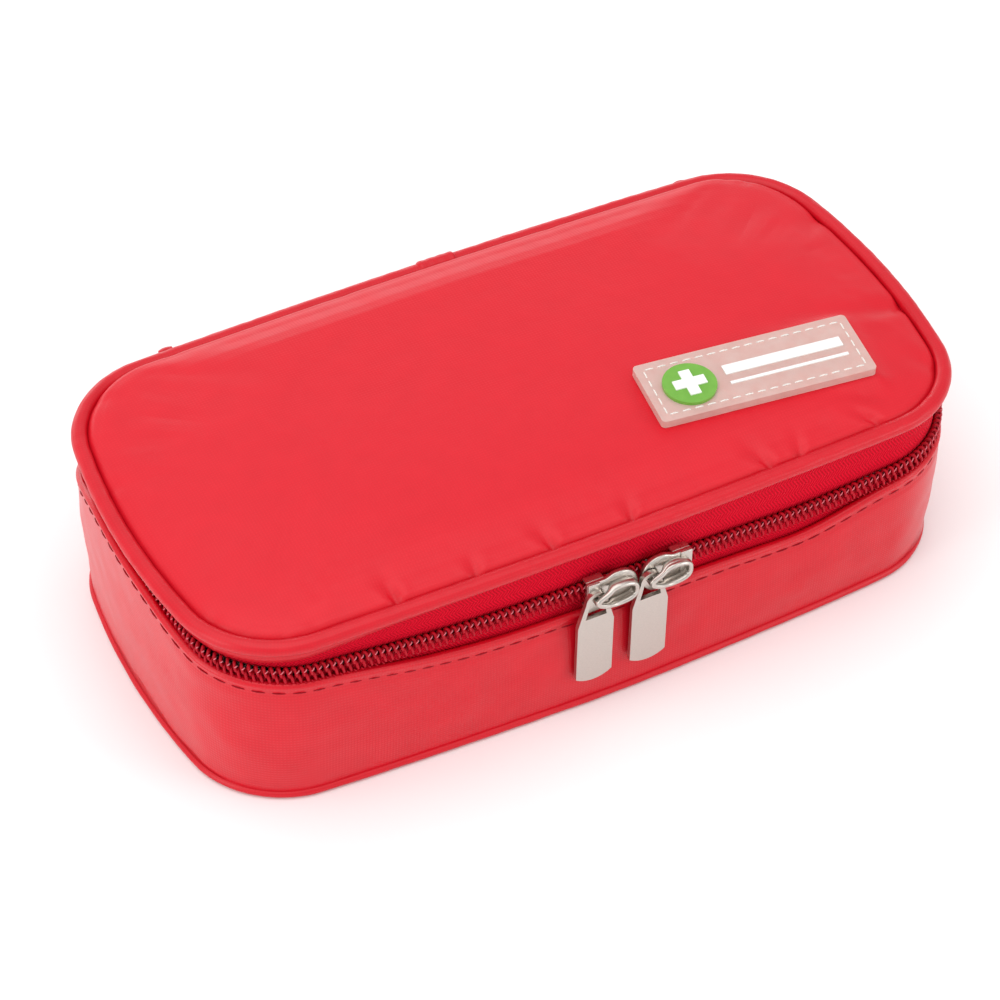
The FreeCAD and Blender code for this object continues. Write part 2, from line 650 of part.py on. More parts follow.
def add_path(sketch, *points):
    """A closed path through the points: a pair is a corner, and a triple's third item marks the
    middle of an arc that joins the corners before and after it."""
    index = 0
    count = len(points)
    while index < count:
        start = FreeCAD.Vector(*points[index][:2], 0)
        after = points[(index + 1) % count]
        if len(after) == 3:
            middle = FreeCAD.Vector(*after[:2], 0)
            end = FreeCAD.Vector(*points[(index + 2) % count][:2], 0)
            sketch.addGeometry(Part.Arc(start, middle, end))
            index += 2
        else:
            sketch.addGeometry(Part.LineSegment(start, FreeCAD.Vector(*after[:2], 0)))
            index += 1


def slider_plate(body, name, outset, thickness, tail_half, head_half):
    """One plate of the slider: square at the tail, widening to a round head."""
    sketch = new_sketch(body, name, "XZ_Plane", outset)
    half = value("Sheet.slider_length / 2")
    taper = value("Sheet.slider_taper_end")
    tail = value(tail_half)
    head = value(head_half)
    add_path(sketch, (-half, -tail), (taper, -head), (half, 0, "arc"), (taper, head), (-half, tail))
    return pad(body, sketch, thickness)


def build_slider(label, x, mirrored):
    """Die-cast slider: front and back plates joined by a post, side rails, and the pull's bridge."""
    body = new_body(label)
    slider_plate(body, f"{label}_front", PLATE_FACE, "Sheet.front_plate",
                 "Sheet.slider_tail_half", "Sheet.slider_head_half")
    half = "Sheet.slider_length / 2"
    post = new_sketch(body, f"{label}_post", "XZ_Plane", PLATE_FACE)
    post_end = f"{half} - Sheet.post_inset"
    add_rectangle(post, f"{post_end} - Sheet.post_length", "-Sheet.post_thickness / 2",
                  post_end, "Sheet.post_thickness / 2")
    back_face = f"{TAPE_IN} - Sheet.plate_back_clearance"
    pad(body, post, f"({PLATE_FACE}) - ({back_face})").Reversed = True
    slider_plate(body, f"{label}_back", f"{back_face} - Sheet.back_plate", "Sheet.back_plate",
                 "Sheet.slider_tail_half", "Sheet.back_plate_half")

    tail = value("Sheet.slider_tail_half")
    head = value("Sheet.slider_head_half")
    wall = value("Sheet.rail_wall")
    end = value(half)
    taper = value("Sheet.slider_taper_end")
    for side in (1, -1):
        rail = new_sketch(body, f"{label}_rail_{'upper' if side > 0 else 'lower'}", "XZ_Plane",
                          PLATE_FACE)
        add_path(rail, (-end, side * tail), (taper, side * head), (taper, side * (head - wall)),
                 (-end, side * (tail - wall)))
        pad(body, rail, "Sheet.rail_depth").Reversed = True

    bridge = new_sketch(body, f"{label}_bridge", "XY_Plane")
    foot = -value(BRIDGE_FOOT)
    reach = value(BRIDGE_HALF)
    leg = value("Sheet.bridge_leg")
    inner_top = foot - value("Sheet.bridge_opening")
    outer_top = inner_top - value("Sheet.bridge_bar")
    outer_round = value("Sheet.bridge_round")
    bend = outer_round * (1 - math.sqrt(0.5))
    inner_round = outer_round / 2
    inner_bend = inner_round * (1 - math.sqrt(0.5))
    inner = reach - leg
    root = foot + value("Sheet.front_plate") / 2
    add_path(
        bridge,
        (-reach, root), (-reach, outer_top + outer_round),
        (-reach + bend, outer_top + bend, "arc"), (-reach + outer_round, outer_top),
        (reach - outer_round, outer_top), (reach - bend, outer_top + bend, "arc"),
        (reach, outer_top + outer_round), (reach, root),
        (inner, root), (inner, inner_top + inner_round),
        (inner - inner_bend, inner_top + inner_bend, "arc"), (inner - inner_round, inner_top),
        (-inner + inner_round, inner_top), (-inner + inner_bend, inner_top + inner_bend, "arc"),
        (-inner, inner_top + inner_round), (-inner, root))
    pad(body, bridge, "Sheet.bridge_width", midplane=True)
    if mirrored:
        body.Placement = FreeCAD.Placement(
            FreeCAD.Vector(0, 0, 0), FreeCAD.Rotation(FreeCAD.Vector(0, 1, 0), 180))
    place_on_chain(body, x)


def place_on_chain(body, x, shift="0"):
    """Sets a piece on the zip's centre line at the front, at a distance along X."""
    centre = "Sheet.long_side_radius - Sheet.half_depth"
    body.setExpression("Placement.Base.x", f"{x} + {shift}")
    body.setExpression(
        "Placement.Base.y", f"{centre} - sqrt(Sheet.long_side_radius ^ 2 - {x} ^ 2)")
    body.setExpression("Placement.Base.z", ZIP_HEIGHT)


def build_pull(label, x):
    """Flat pull with an eye round the bridge's left leg, hanging in front of the wall."""
    body = new_body(label)
    outset = f"{BRIDGE_FOOT} + (Sheet.bridge_opening - Sheet.pull_thickness) / 2"
    sketch = new_sketch(body, f"{label}_outline", "XZ_Plane", outset)
    eye = value("Sheet.eye_radius")
    top = value("Sheet.eye_radius + Sheet.eye_wire")
    half = value("Sheet.pull_half_width")
    shoulder = -value("Sheet.shoulder_depth")
    side = -value("Sheet.pull_side_length")
    add_path(sketch, (-top, 0), (0, top, "arc"), (top, 0), (half, shoulder), (half, side),
             (0, -value("Sheet.pull_length"), "arc"), (-half, side), (-half, shoulder))
    eye_depth = -value("Sheet.eye_depth")
    eye_half = value("Sheet.eye_half_width")
    add_path(sketch, (-eye, 0), (0, eye, "arc"), (eye, 0), (eye_half, eye_depth),
             (-eye_half, eye_depth))
    pad(body, sketch, "Sheet.pull_thickness")
    place_on_chain(body, x, f"-({LEG_X})")


# ---- contents -----------------------------------------------------------------------------------

def build_roll(label, x, radius):
    """A rolled bandage lying across the base."""
    body = new_body(label)
    face = new_sketch(body, f"{label}_face", "XZ_Plane", f"-({ROLL_LENGTH}) / 2")
    add_circle(face, x, f"{CONTENTS_LOW} + {radius}", radius)
    pad(body, face, ROLL_LENGTH)


def build_tape_roll():
    """A roll of medical tape standing on its side, wound on a card core."""
    for label, radius, bore in (
            ("medical_tape_roll", "Sheet.tape_roll_radius", "Sheet.core_radius"),
            ("medical_tape_core", "Sheet.core_radius - Sheet.cord_clearance",
             "Sheet.core_radius - Sheet.core_wall")):
        body = new_body(label)
        face = new_sketch(body, f"{label}_face", height=CONTENTS_LOW)
        for size in (radius, bore):
            add_circle(face, TAPE_ROLL_X, TAPE_ROLL_Y, size)
        pad(body, face, "Sheet.tape_roll_width")


def build_tweezers():
    """Flat spring tweezers: two blades joined at one end, lying on the gauze."""
    body = new_body("tweezers")
    left = f"{GAUZE_LEFT} + Sheet.gauze_length - Sheet.tweezer_inset - Sheet.tweezer_width"
    side = new_sketch(body, "tweezers_side", "YZ_Plane", left)
    half = value(GAUZE_WIDTH) / 2 - value("Sheet.tweezer_inset")
    blade = value("Sheet.tweezer_blade")
    opening = value("Sheet.tweezer_opening")
    gauze_height = f"{GAUZE_COUNT} * (Sheet.gauze_sheet + Sheet.stack_gap)"
    floor = value(f"{CONTENTS_LOW} + {gauze_height} + Sheet.contents_lift")
    middle = floor + blade + opening / 2
    top = floor + 2 * blade + opening
    joint = half / 3
    add_path(side, (-half, floor), (half - joint, floor), (half, middle - blade),
             (half, middle + blade), (half - joint, top), (-half, top), (-half, top - blade),
             (half - joint, top - blade), (half - blade, middle), (half - joint, floor + blade),
             (-half, floor + blade))
    pad(body, side, "Sheet.tweezer_width")


def build_contents():
    """Generic dressings held in the base."""
    build_roll("bandage_roll_large", LARGE_ROLL_X, LARGE_ROLL_RADIUS)
    build_roll("bandage_roll_small", SMALL_ROLL_X, "Sheet.small_roll_radius")
    build_tape_roll()
    stack("gauze_pads", GAUZE_COUNT, f"{GAUZE_LEFT} + Sheet.gauze_length / 2", "0", CONTENTS_LOW,
          "Sheet.gauze_length", GAUZE_WIDTH, "Sheet.gauze_sheet")
    stack("wipe_sachets", SACHET_COUNT, SACHET_X, SACHET_Y, CONTENTS_LOW,
          "Sheet.sachet_length", SACHET_WIDTH, "Sheet.sachet_thickness")
    build_tweezers()


# ---- assembly -----------------------------------------------------------------------------------

build_base_shell()
build_zip_band("base", "Sheet.hem_height - Sheet.tape_below_hem",
               f"{COIL_LOW} + Sheet.tape_under_coil", COIL_LOW)
build_zip_band("lid", f"{COIL_HIGH} - Sheet.tape_under_coil", BAND_TOP,
               f"{COIL_HIGH} - Sheet.coil_width")
build_hinge_band("lower", "Sheet.hem_height - Sheet.hinge_below_hem",
                 f"{ZIP_HEIGHT} - Sheet.hinge_fold_gap")
build_hinge_band("upper", f"{ZIP_HEIGHT} + Sheet.hinge_fold_gap", BAND_TOP)
build_lid_shell()
build_lid_pocket()
build_label()
build_slider("slider_left_body", "Sheet.left_slider_x", mirrored=False)
build_slider("slider_right_body", RIGHT_SLIDER_X, mirrored=True)
build_pull("pull_left_tab", "Sheet.left_slider_x")
build_pull("pull_right_tab", RIGHT_SLIDER_X)
build_contents()
doc.recompute()

for item in doc.Objects:
    if "Invalid" in item.State or "Error" in item.State:
        raise RuntimeError(f"{item.Label}: {item.State}")
for part in sub_parts:
    if part.Shape.isNull() or not part.Shape.isValid():
        raise RuntimeError(f"{part.Label}: its shape is empty or not valid")

os.makedirs("parts", exist_ok=True)
for part in sub_parts:
    part.Shape.exportStep(f"parts/{part.Label}.step")
    print(f"{part.Label}: {part.Shape.Volume:.1f} mm3, {len(part.Shape.Solids)} solid(s)")
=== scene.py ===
import math
from collections import namedtuple

import bmesh
import bpy
import numpy as np
from mathutils import Matrix, Vector, kdtree, noise


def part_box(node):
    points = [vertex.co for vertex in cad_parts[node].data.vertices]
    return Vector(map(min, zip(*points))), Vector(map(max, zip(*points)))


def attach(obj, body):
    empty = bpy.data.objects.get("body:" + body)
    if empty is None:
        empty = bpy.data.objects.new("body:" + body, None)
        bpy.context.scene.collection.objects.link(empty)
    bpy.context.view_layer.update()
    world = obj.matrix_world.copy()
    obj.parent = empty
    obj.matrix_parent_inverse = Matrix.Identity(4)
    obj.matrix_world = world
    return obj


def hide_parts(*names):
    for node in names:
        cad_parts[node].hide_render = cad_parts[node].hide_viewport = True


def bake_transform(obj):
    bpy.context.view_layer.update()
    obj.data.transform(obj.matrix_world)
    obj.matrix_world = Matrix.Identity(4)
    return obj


# Zip-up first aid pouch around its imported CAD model. Sizes are in millimetres and MM turns them into metres.
# Every soft piece follows one outline of eight tangent arcs; "outset" is the distance outside that outline.

MM = 0.001
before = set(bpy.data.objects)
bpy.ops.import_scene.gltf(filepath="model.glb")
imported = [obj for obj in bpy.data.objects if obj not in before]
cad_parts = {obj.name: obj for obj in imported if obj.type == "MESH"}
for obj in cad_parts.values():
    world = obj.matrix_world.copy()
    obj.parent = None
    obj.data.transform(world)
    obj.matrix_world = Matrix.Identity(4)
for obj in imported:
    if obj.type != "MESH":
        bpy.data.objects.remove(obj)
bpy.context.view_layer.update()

# ---------------------------------------------------------------- sizes shared with the CAD design

HALF_LENGTH = 88.2
HALF_DEPTH = 44.6
LONG_SIDE_RADIUS = 1670.0
SHORT_SIDE_RADIUS = 153.0
CORNER_RADIUS = 21.0

HEM_HEIGHT = 26.5
ZIP_HEIGHT = 31.6
PIPING_HEIGHT = 44.3
PIPING_RADIUS = 1.65
CORD_RADIUS = 0.98
WALL_OUTSET = 0.8
FABRIC = 0.8
HINGE_LEFT = -57.0
HINGE_RIGHT = 63.0
COIL_PITCH = 1.48
CROWN_TOP = 49.0
CROWN_ROLL = 3.9
BACK_SWELL = 1.9
END_VALLEY = 0.3

# ---------------------------------------------------------------- the outline


class Outline:
    """The piping's centre line, clockwise from above, starting at the middle of the back."""

    def __init__(self):
        long_centre = HALF_DEPTH - LONG_SIDE_RADIUS
        short_centre = HALF_LENGTH - SHORT_SIDE_RADIUS
        corner_x, corner_y = self.corner_centre(long_centre, short_centre)
        long_end = math.atan2(corner_y - long_centre, corner_x)
        short_end = math.atan2(corner_y, corner_x - short_centre)
        quarter = [
            self.arc(0.0, long_centre, LONG_SIDE_RADIUS, math.pi / 2, long_end, 300),
            self.arc(corner_x, corner_y, CORNER_RADIUS, long_end, short_end, 300),
            self.arc(short_centre, 0.0, SHORT_SIDE_RADIUS, short_end, 0.0, 150),
        ]
        back_right = np.concatenate(quarter)
        front_right = (back_right * [1, -1, 1, -1])[::-1]
        front_left = back_right * [-1, -1, -1, -1]
        back_left = (back_right * [-1, 1, -1, 1])[::-1]
        rows = np.concatenate([back_right, front_right, front_left, back_left])
        steps = np.linalg.norm(np.diff(rows[:, :2], axis=0), axis=1)
        self.rows = rows
        self.along = np.concatenate([[0.0], np.cumsum(steps)])
        self.length = self.along[-1]

    @staticmethod
    def corner_centre(long_centre, short_centre):
        """Where a circle touches both the long side's and the short side's arc from inside."""
        from_long = LONG_SIDE_RADIUS - CORNER_RADIUS
        from_short = SHORT_SIDE_RADIUS - CORNER_RADIUS
        between = math.hypot(short_centre, long_centre)
        share = (from_long**2 - from_short**2 + between**2) / (2 * between)
        height = math.sqrt(from_long**2 - share**2)
        dx = short_centre / between
        dy = -long_centre / between
        return share * dx + height * dy, long_centre + share * dy - height * dx

    @staticmethod
    def arc(x, y, radius, start, end, count):
        angle = np.linspace(start, end, count)
        cos = np.cos(angle)
        sin = np.sin(angle)
        return np.stack([x + radius * cos, y + radius * sin, cos, sin], axis=1)

    def at(self, along):
        """Points and outward normals at distances along the outline."""
        wrapped = np.mod(along, self.length)
        columns = [np.interp(wrapped, self.along, self.rows[:, k]) for k in range(4)]
        points = np.stack(columns[:2], axis=-1)
        normals = np.stack(columns[2:], axis=-1)
        return points, normals / np.linalg.norm(normals, axis=-1, keepdims=True)

    def near(self, x, y):
        """Distance along the outline of its point nearest to (x, y)."""
        gaps = (self.rows[:, 0] - x) ** 2 + (self.rows[:, 1] - y) ** 2
        return self.along[int(np.argmin(gaps))]

    def even(self, spacing):
        """Evenly spaced distances round the whole outline, without the repeated end."""
        count = int(round(self.length / spacing / 4)) * 4
        return np.arange(count) * self.length / count


LINE = Outline()
BACK_Y = HALF_DEPTH
ZIP_START = LINE.near(HINGE_RIGHT, BACK_Y)
ZIP_END = LINE.near(HINGE_LEFT, BACK_Y)


class Level:
    """A height or offset that changes smoothly round the outline, given at a few places."""

    def __init__(self, places, softness=9.0):
        grid = LINE.even(0.5)
        known = sorted((LINE.near(x, y), value) for x, y, value in places)
        where = [k[0] for k in known]
        value = [k[1] for k in known]
        raw = np.interp(grid, where, value, period=LINE.length)
        reach = np.minimum(grid, LINE.length - grid)
        kernel = np.exp(-((reach / softness) ** 2))
        kernel /= kernel.sum()
        smooth = np.fft.ifft(np.fft.fft(raw) * np.fft.fft(kernel)).real
        self.grid = grid
        self.value = smooth

    def at(self, along):
        return np.interp(np.mod(along, LINE.length), self.grid, self.value, period=LINE.length)


# How far the zip, the hem and the piping of this soft pouch wander from their design heights.
ZIP_LIFT = Level(
    [
        (0, 45, 0.0), (63, 45, 0.0), (80, 38, 0.4), (88, 0, 0.8), (80, -38, 0.6), (66, -44, -0.5),
        (45, -44, -1.8), (20, -45, -0.6), (-12, -45, 0.0), (-30, -45, 0.2), (-46, -44, 1.2),
        (-62, -44, 2.8), (-76, -41, 4.0), (-85, -30, 4.6), (-88, -10, 5.8), (-88, 12, 5.6),
        (-80, 38, 2.4), (-57, 45, 0.0),
    ]
)
HEM_LIFT = Level(
    [
        (0, 45, 0.0), (63, 45, 0.0), (80, 38, 1.5), (88, 0, 2.8), (80, -38, 3.2), (68, -44, 2.6),
        (60, -44, 1.2), (53, -44, -0.6), (44, -44, -2.4), (28, -45, -1.2), (5, -45, -0.4),
        (-27, -45, 0.2), (-44, -44, 2.2), (-62, -44, 6.0), (-76, -41, 7.6), (-85, -30, 8.6),
        (-87, -22, 10.6), (-88, -12, 12.8), (-88, 14, 13.6), (-80, 38, 5.0), (-57, 45, 0.0),
    ],
    softness=6.0,
)
PIPING_LIFT = Level(
    [
        (0, 45, 0.0), (80, 38, 0.3), (88, 0, 0.2), (70, -43, 0.2), (40, -44, 0.1), (0, -45, -0.3),
        (-45, -44, -0.5), (-70, -43, -1.0), (-88, -10, -0.9), (-80, 38, -0.3),
    ]
)


def zip_height(along):
    return ZIP_HEIGHT + ZIP_LIFT.at(along)


def hem_height(along):
    return HEM_HEIGHT + HEM_LIFT.at(along)


def piping_height(along):
    return PIPING_HEIGHT + PIPING_LIFT.at(along)


# ---------------------------------------------------------------- mesh building


def unit(rows):
    return rows / np.linalg.norm(rows, axis=-1, keepdims=True)


def circle(sides):
    return np.linspace(0, 2 * math.pi, sides, endpoint=False)


def running_length(points):
    """Distance travelled along the first axis of a grid of points, with the step back to its start last."""
    steps = np.linalg.norm(np.roll(points, -1, axis=0) - points, axis=2).mean(axis=1)
    return np.concatenate([[0.0], np.cumsum(steps)])


def link_mesh(name, vertices, faces, smooth=True):
    mesh = bpy.data.meshes.new(name)
    mesh.from_pydata((np.asarray(vertices).reshape(-1, 3) * MM).tolist(), [], faces)
    mesh.update()
    if smooth:
        mesh.shade_smooth()
    obj = bpy.data.objects.new(name, mesh)
    bpy.context.scene.collection.objects.link(obj)
    return obj


def lattice(name, points, loop_u=False, loop_v=False, caps=False):
    """A quad surface over a grid of points, with a UV map in millimetres. Its outside is v cross u."""
    rows, columns = points.shape[:2]
    i = np.arange(rows if loop_u else rows - 1)
    j = np.arange(columns if loop_v else columns - 1)
    low_u, low_v = np.meshgrid(i, j, indexing="ij")
    high_u = (low_u + 1) % rows
    high_v = (low_v + 1) % columns
    corners = [
        low_u * columns + low_v,
        low_u * columns + high_v,
        high_u * columns + high_v,
        high_u * columns + low_v,
    ]
    faces = np.stack(corners, axis=-1).reshape(-1, 4).tolist()
    length_u = running_length(points)
    length_v = running_length(points.transpose(1, 0, 2))
    corner_u = np.stack([length_u[low_u], length_u[low_u], length_u[low_u + 1], length_u[low_u + 1]], axis=-1)
    corner_v = np.stack([length_v[low_v], length_v[low_v + 1], length_v[low_v + 1], length_v[low_v]], axis=-1)
    uv = np.stack([corner_u, corner_v], axis=-1).reshape(-1, 2)
    if caps:
        first = list(range(columns))
        last = [(rows - 1) * columns + k for k in range(columns)]
        faces += [first[::-1], last]
        uv = np.concatenate([uv, np.zeros((2 * columns, 2))])
    obj = link_mesh(name, points, faces)
    layer = obj.data.uv_layers.new(name="UVMap")
    layer.data.foreach_set("uv", uv.astype(np.float32).ravel())
    return obj


def ring_points(along, outset, height):
    """Grid of points from arrays of outsets and heights, one row for each distance along the outline."""
    points, normals = LINE.at(along)
    flat = points[:, None, :] + outset[:, :, None] * normals[:, None, :]
    return np.concatenate([flat, height[:, :, None]], axis=2)


def outward(along):
    """Level unit vectors pointing away from the outline, one for each distance along it."""
    return np.concatenate([LINE.at(along)[1], np.zeros((len(along), 1))], axis=1)


Corner = namedtuple("Corner", "x y z")


def box_mm(node):
    """The lowest and highest corners of a CAD node, in millimetres."""
    return tuple(Corner(*(value / MM for value in corner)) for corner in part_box(node))


def heights_mm(*nodes):
    """The lowest and highest Z over CAD nodes, in millimetres."""
    boxes = [box_mm(node) for node in nodes]
    return min(low.z for low, _ in boxes), max(high.z for _, high in boxes)


def unevenness(values, scale, second, third):
    """Smooth noise along a row of values, from -1 to 1."""
    return np.array([noise.noise(Vector((v / scale, second, third))) for v in values])


def wrinkle(along, height, scale, seed):
    """Smooth noise on the outline's wall, from -1 to 1."""
    points, _ = LINE.at(along)
    grid = np.zeros(height.shape)
    for i in range(grid.shape[0]):
        x = points[i, 0] / scale
        y = points[i, 1] / scale
        for k in range(grid.shape[1]):
            grid[i, k] = noise.noise(Vector((x, y, height[i, k] / scale + seed)))
    return grid


def finish_piece(obj, body, slot, material, *nodes):
    """Gives a new piece its material, the CAD nodes that it stands for and its body. Its slot is not used."""
    obj.data.materials.clear()
    obj.data.materials.append(material)
    if nodes:
        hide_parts(*nodes)
    if body:
        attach(obj, body)


def capsules(name, centres, directions, lifts, length, radius, sides=6):
    """Short rounded dashes in one mesh. Their ends dip against the lift direction, as a stitch's do."""
    stations = np.array([-0.5, -0.36, 0.0, 0.36, 0.5])
    girth = np.array([0.25, 0.85, 1.0, 0.85, 0.25]) * radius
    dip = np.array([1.3, 0.45, 0.0, 0.45, 1.3]) * radius
    angle = circle(sides)
    across = np.cross(directions, lifts)
    centres = np.asarray(centres)
    core = centres[:, None] + directions[:, None] * (stations * length)[None, :, None]
    core = core - lifts[:, None] * dip[None, :, None]
    round_it = across[:, None, None] * np.cos(angle)[None, None, :, None]
    round_it = round_it + lifts[:, None, None] * np.sin(angle)[None, None, :, None]
    points = core[:, :, None] + round_it * girth[None, :, None, None]
    count, stops = points.shape[0], len(stations)
    faces = []
    for c in range(count):
        start = c * stops * sides
        for s in range(stops - 1):
            for k in range(sides):
                n = (k + 1) % sides
                a = start + s * sides
                b = a + sides
                faces.append((a + k, a + n, b + n, b + k))
    return link_mesh(name, points, faces)


def add_bevel(obj, width, segments=3, angle=35.0):
    bevel = obj.modifiers.new("edges", "BEVEL")
    bevel.width = width * MM
    bevel.segments = segments
    bevel.limit_method = "ANGLE"
    bevel.angle_limit = math.radians(angle)
    bevel.harden_normals = False
    obj.data.shade_smooth()
    return obj


# ---------------------------------------------------------------- materials


def linear(red, green, blue):
    """A colour on screen, from 0 to 255, as the linear colour that a shader takes."""
    result = []
    for value in (red, green, blue):
        c = value / 255
        result.append(c / 12.92 if c <= 0.04045 else ((c + 0.055) / 1.055) ** 2.4)
    return (*result, 1.0)


class Finish:
    """A procedural material under construction."""

    def __init__(self, name, colour, roughness, **sockets):
        self.material = bpy.data.materials.new(name)
        self.material.use_nodes = True
        self.tree = self.material.node_tree
        self.shader = self.tree.nodes["Principled BSDF"]
        self.colour = linear(*colour)
        self.shader.inputs["Base Color"].default_value = self.colour
        self.shader.inputs["Roughness"].default_value = roughness
        for socket, value in sockets.items():
            self.shader.inputs[socket.replace("_", " ")].default_value = value

    def node(self, kind, **settings):
        made = self.tree.nodes.new(kind)
        for key, value in settings.items():
            setattr(made, key, value)
        return made

    def link(self, source, target):
        self.tree.links.new(source, target)

    def math(self, operation, first, second=0.0, third=0.0):
        made = self.node("ShaderNodeMath", operation=operation)
        for socket, value in zip(made.inputs, (first, second, third)):
            if isinstance(value, (int, float)):
                socket.default_value = value
            else:
                self.link(value, socket)
        return made.outputs[0]

    def object_mm(self):
        """X, Y and Z on the object, in millimetres."""
        place = self.node("ShaderNodeTexCoord")
        scale = self.node("ShaderNodeVectorMath", operation="SCALE")
        self.link(place.outputs["Object"], scale.inputs[0])
        scale.inputs["Scale"].default_value = 1 / MM
        split = self.node("ShaderNodeSeparateXYZ")
        self.link(scale.outputs[0], split.inputs[0])
        return scale.outputs[0], split.outputs

    def surface_mm(self):
        """U and V of the UV map, which is in millimetres."""
        place = self.node("ShaderNodeUVMap", uv_map="UVMap")
        split = self.node("ShaderNodeSeparateXYZ")
        self.link(place.outputs[0], split.inputs[0])
        return place.outputs[0], split.outputs

    def ripple(self, value, pitch):
        """0 to 1 and back for every pitch of value."""
        turned = self.math("MULTIPLY", value, 2 * math.pi / pitch)
        wave = self.math("SINE", turned)
        return self.math("MULTIPLY_ADD", wave, 0.5, 0.5)

    def noise(self, vector, scale, detail=3.0, roughness=0.5):
        made = self.node("ShaderNodeTexNoise")
        made.inputs["Scale"].default_value = scale
        made.inputs["Detail"].default_value = detail
        made.inputs["Roughness"].default_value = roughness
        self.link(vector, made.inputs["Vector"])
        return made.outputs[0]

    def tint(self, factor, low, high):
        """The base colour goes from low to high with the factor."""
        mix = self.node("ShaderNodeMix", data_type="RGBA")
        self.link(factor, mix.inputs["Factor"])
        mix.inputs[6].default_value = linear(*low)
        mix.inputs[7].default_value = linear(*high)
        self.link(mix.outputs[2], self.shader.inputs["Base Color"])

    def rough(self, factor, low, high):
        span = self.node("ShaderNodeMapRange")
        self.link(factor, span.inputs["Value"])
        span.inputs["To Min"].default_value = low
        span.inputs["To Max"].default_value = high
        self.link(span.outputs[0], self.shader.inputs["Roughness"])

    def bump(self, height, distance, strength=1.0):
        """Adds a bump of that height in millimetres on top of the ones before it."""
        made = self.node("ShaderNodeBump")
        made.inputs["Distance"].default_value = distance * MM
        made.inputs["Strength"].default_value = strength
        self.link(height, made.inputs["Height"])
        before = self.shader.inputs["Normal"]
        if before.is_linked:
            self.link(before.links[0].from_socket, made.inputs["Normal"])
        self.link(made.outputs[0], before)


def coated_fabric(name, flat_panel, colour, deep, roughness, relief):
    """Coated polyester: a fine woven grid, relief millimetres deep, under an uneven satin film."""
    finish = Finish(name, colour, roughness, Coat_Weight=0.1, Coat_Roughness=0.3, Specular_IOR_Level=0.32)
    if flat_panel:
        vector, axes = finish.object_mm()
    else:
        vector, axes = finish.surface_mm()
    rib = finish.ripple(axes[0], 0.66)
    course = finish.ripple(axes[1], 0.66)
    weave = finish.math("MULTIPLY", rib, course)
    slow = finish.noise(vector, 0.16, 2.0)
    finish.tint(finish.math("MULTIPLY_ADD", weave, 0.35, finish.math("MULTIPLY", slow, 0.65)), deep, colour)
    finish.rough(slow, roughness - 0.04, roughness + 0.06)
    finish.bump(weave, relief)
    finish.bump(slow, 0.2, 0.5)
    return finish.material


def herringbone_tape(name, colour, deep):
    """Woven zip tape: slanting ribs that change direction in each narrow column."""
    finish = Finish(name, colour, 0.75, Specular_IOR_Level=0.12)
    _, axes = finish.surface_mm()
    column = finish.math("PINGPONG", axes[1], 1.5)
    slant = finish.math("MULTIPLY_ADD", column, 0.8, axes[0])
    rib = finish.ripple(slant, 0.75)
    ridge = finish.ripple(axes[1], 1.5)
    finish.tint(rib, deep, colour)
    finish.bump(rib, 0.12)
    finish.bump(ridge, 0.06)
    return finish.material


def plain_weave(name, colour, deep, pitch, roughness, depth=0.06, **sockets):
    finish = Finish(name, colour, roughness, **sockets)
    vector, axes = finish.object_mm()
    across = finish.math("ADD", axes[0], axes[2])
    rib = finish.ripple(across, pitch)
    course = finish.ripple(axes[1], pitch)
    weave = finish.math("MULTIPLY", rib, course)
    slow = finish.noise(vector, 0.2, 3.0)
    finish.tint(finish.math("MULTIPLY_ADD", weave, 0.5, finish.math("MULTIPLY", slow, 0.5)), deep, colour)
    finish.bump(weave, depth)
    return finish.material


def mottled(name, colour, deep, roughness, grain, depth, **sockets):
    """A surface whose colour, gloss and relief all follow one noise of the given grain, in millimetres."""
    finish = Finish(name, colour, roughness, **sockets)
    vector, _ = finish.object_mm()
    fine = finish.noise(vector, 1 / grain, 4.0)
    finish.tint(fine, deep, colour)
    finish.rough(fine, max(roughness - 0.06, 0.02), roughness + 0.06)
    finish.bump(fine, depth)
    return finish.material


def brushed_metal(name, colour, roughness, direction_scale):
    finish = Finish(name, colour, roughness, Metallic=1.0)
    vector, _ = finish.object_mm()
    stretch = finish.node("ShaderNodeVectorMath", operation="MULTIPLY")
    stretch.inputs[1].default_value = direction_scale
    finish.link(vector, stretch.inputs[0])
    fine = finish.noise(stretch.outputs[0], 2.0, 3.0)
    finish.tint(fine, tuple(c * 0.86 for c in colour), colour)
    finish.rough(fine, roughness - 0.07, roughness + 0.09)
    finish.bump(fine, 0.012)
    return finish.material


def clear_label(name):
    """Soft clear plastic that hazes the red panel beneath it."""
    finish = Finish(name, (248, 206, 198), 0.34, IOR=1.46, Transmission_Weight=0.42, Coat_Weight=0.3)
    vector, _ = finish.object_mm()
    haze = finish.noise(vector, 0.35, 4.0)
    finish.tint(haze, (243, 190, 180), (250, 222, 214))
    finish.rough(haze, 0.26, 0.42)
    finish.bump(finish.noise(vector, 1.6, 3.0), 0.03)
    return finish.material


def thread(name, colour, deep, pitch):
    """Twisted sewing thread."""
    finish = Finish(name, colour, 0.6, Specular_IOR_Level=0.2)
    _, axes = finish.object_mm()
    along = finish.math("ADD", axes[0], axes[1])
    twist = finish.ripple(finish.math("ADD", along, finish.math("MULTIPLY", axes[2], 1.2)), pitch)
    finish.tint(twist, deep, colour)
    finish.bump(twist, 0.04)
    return finish.material


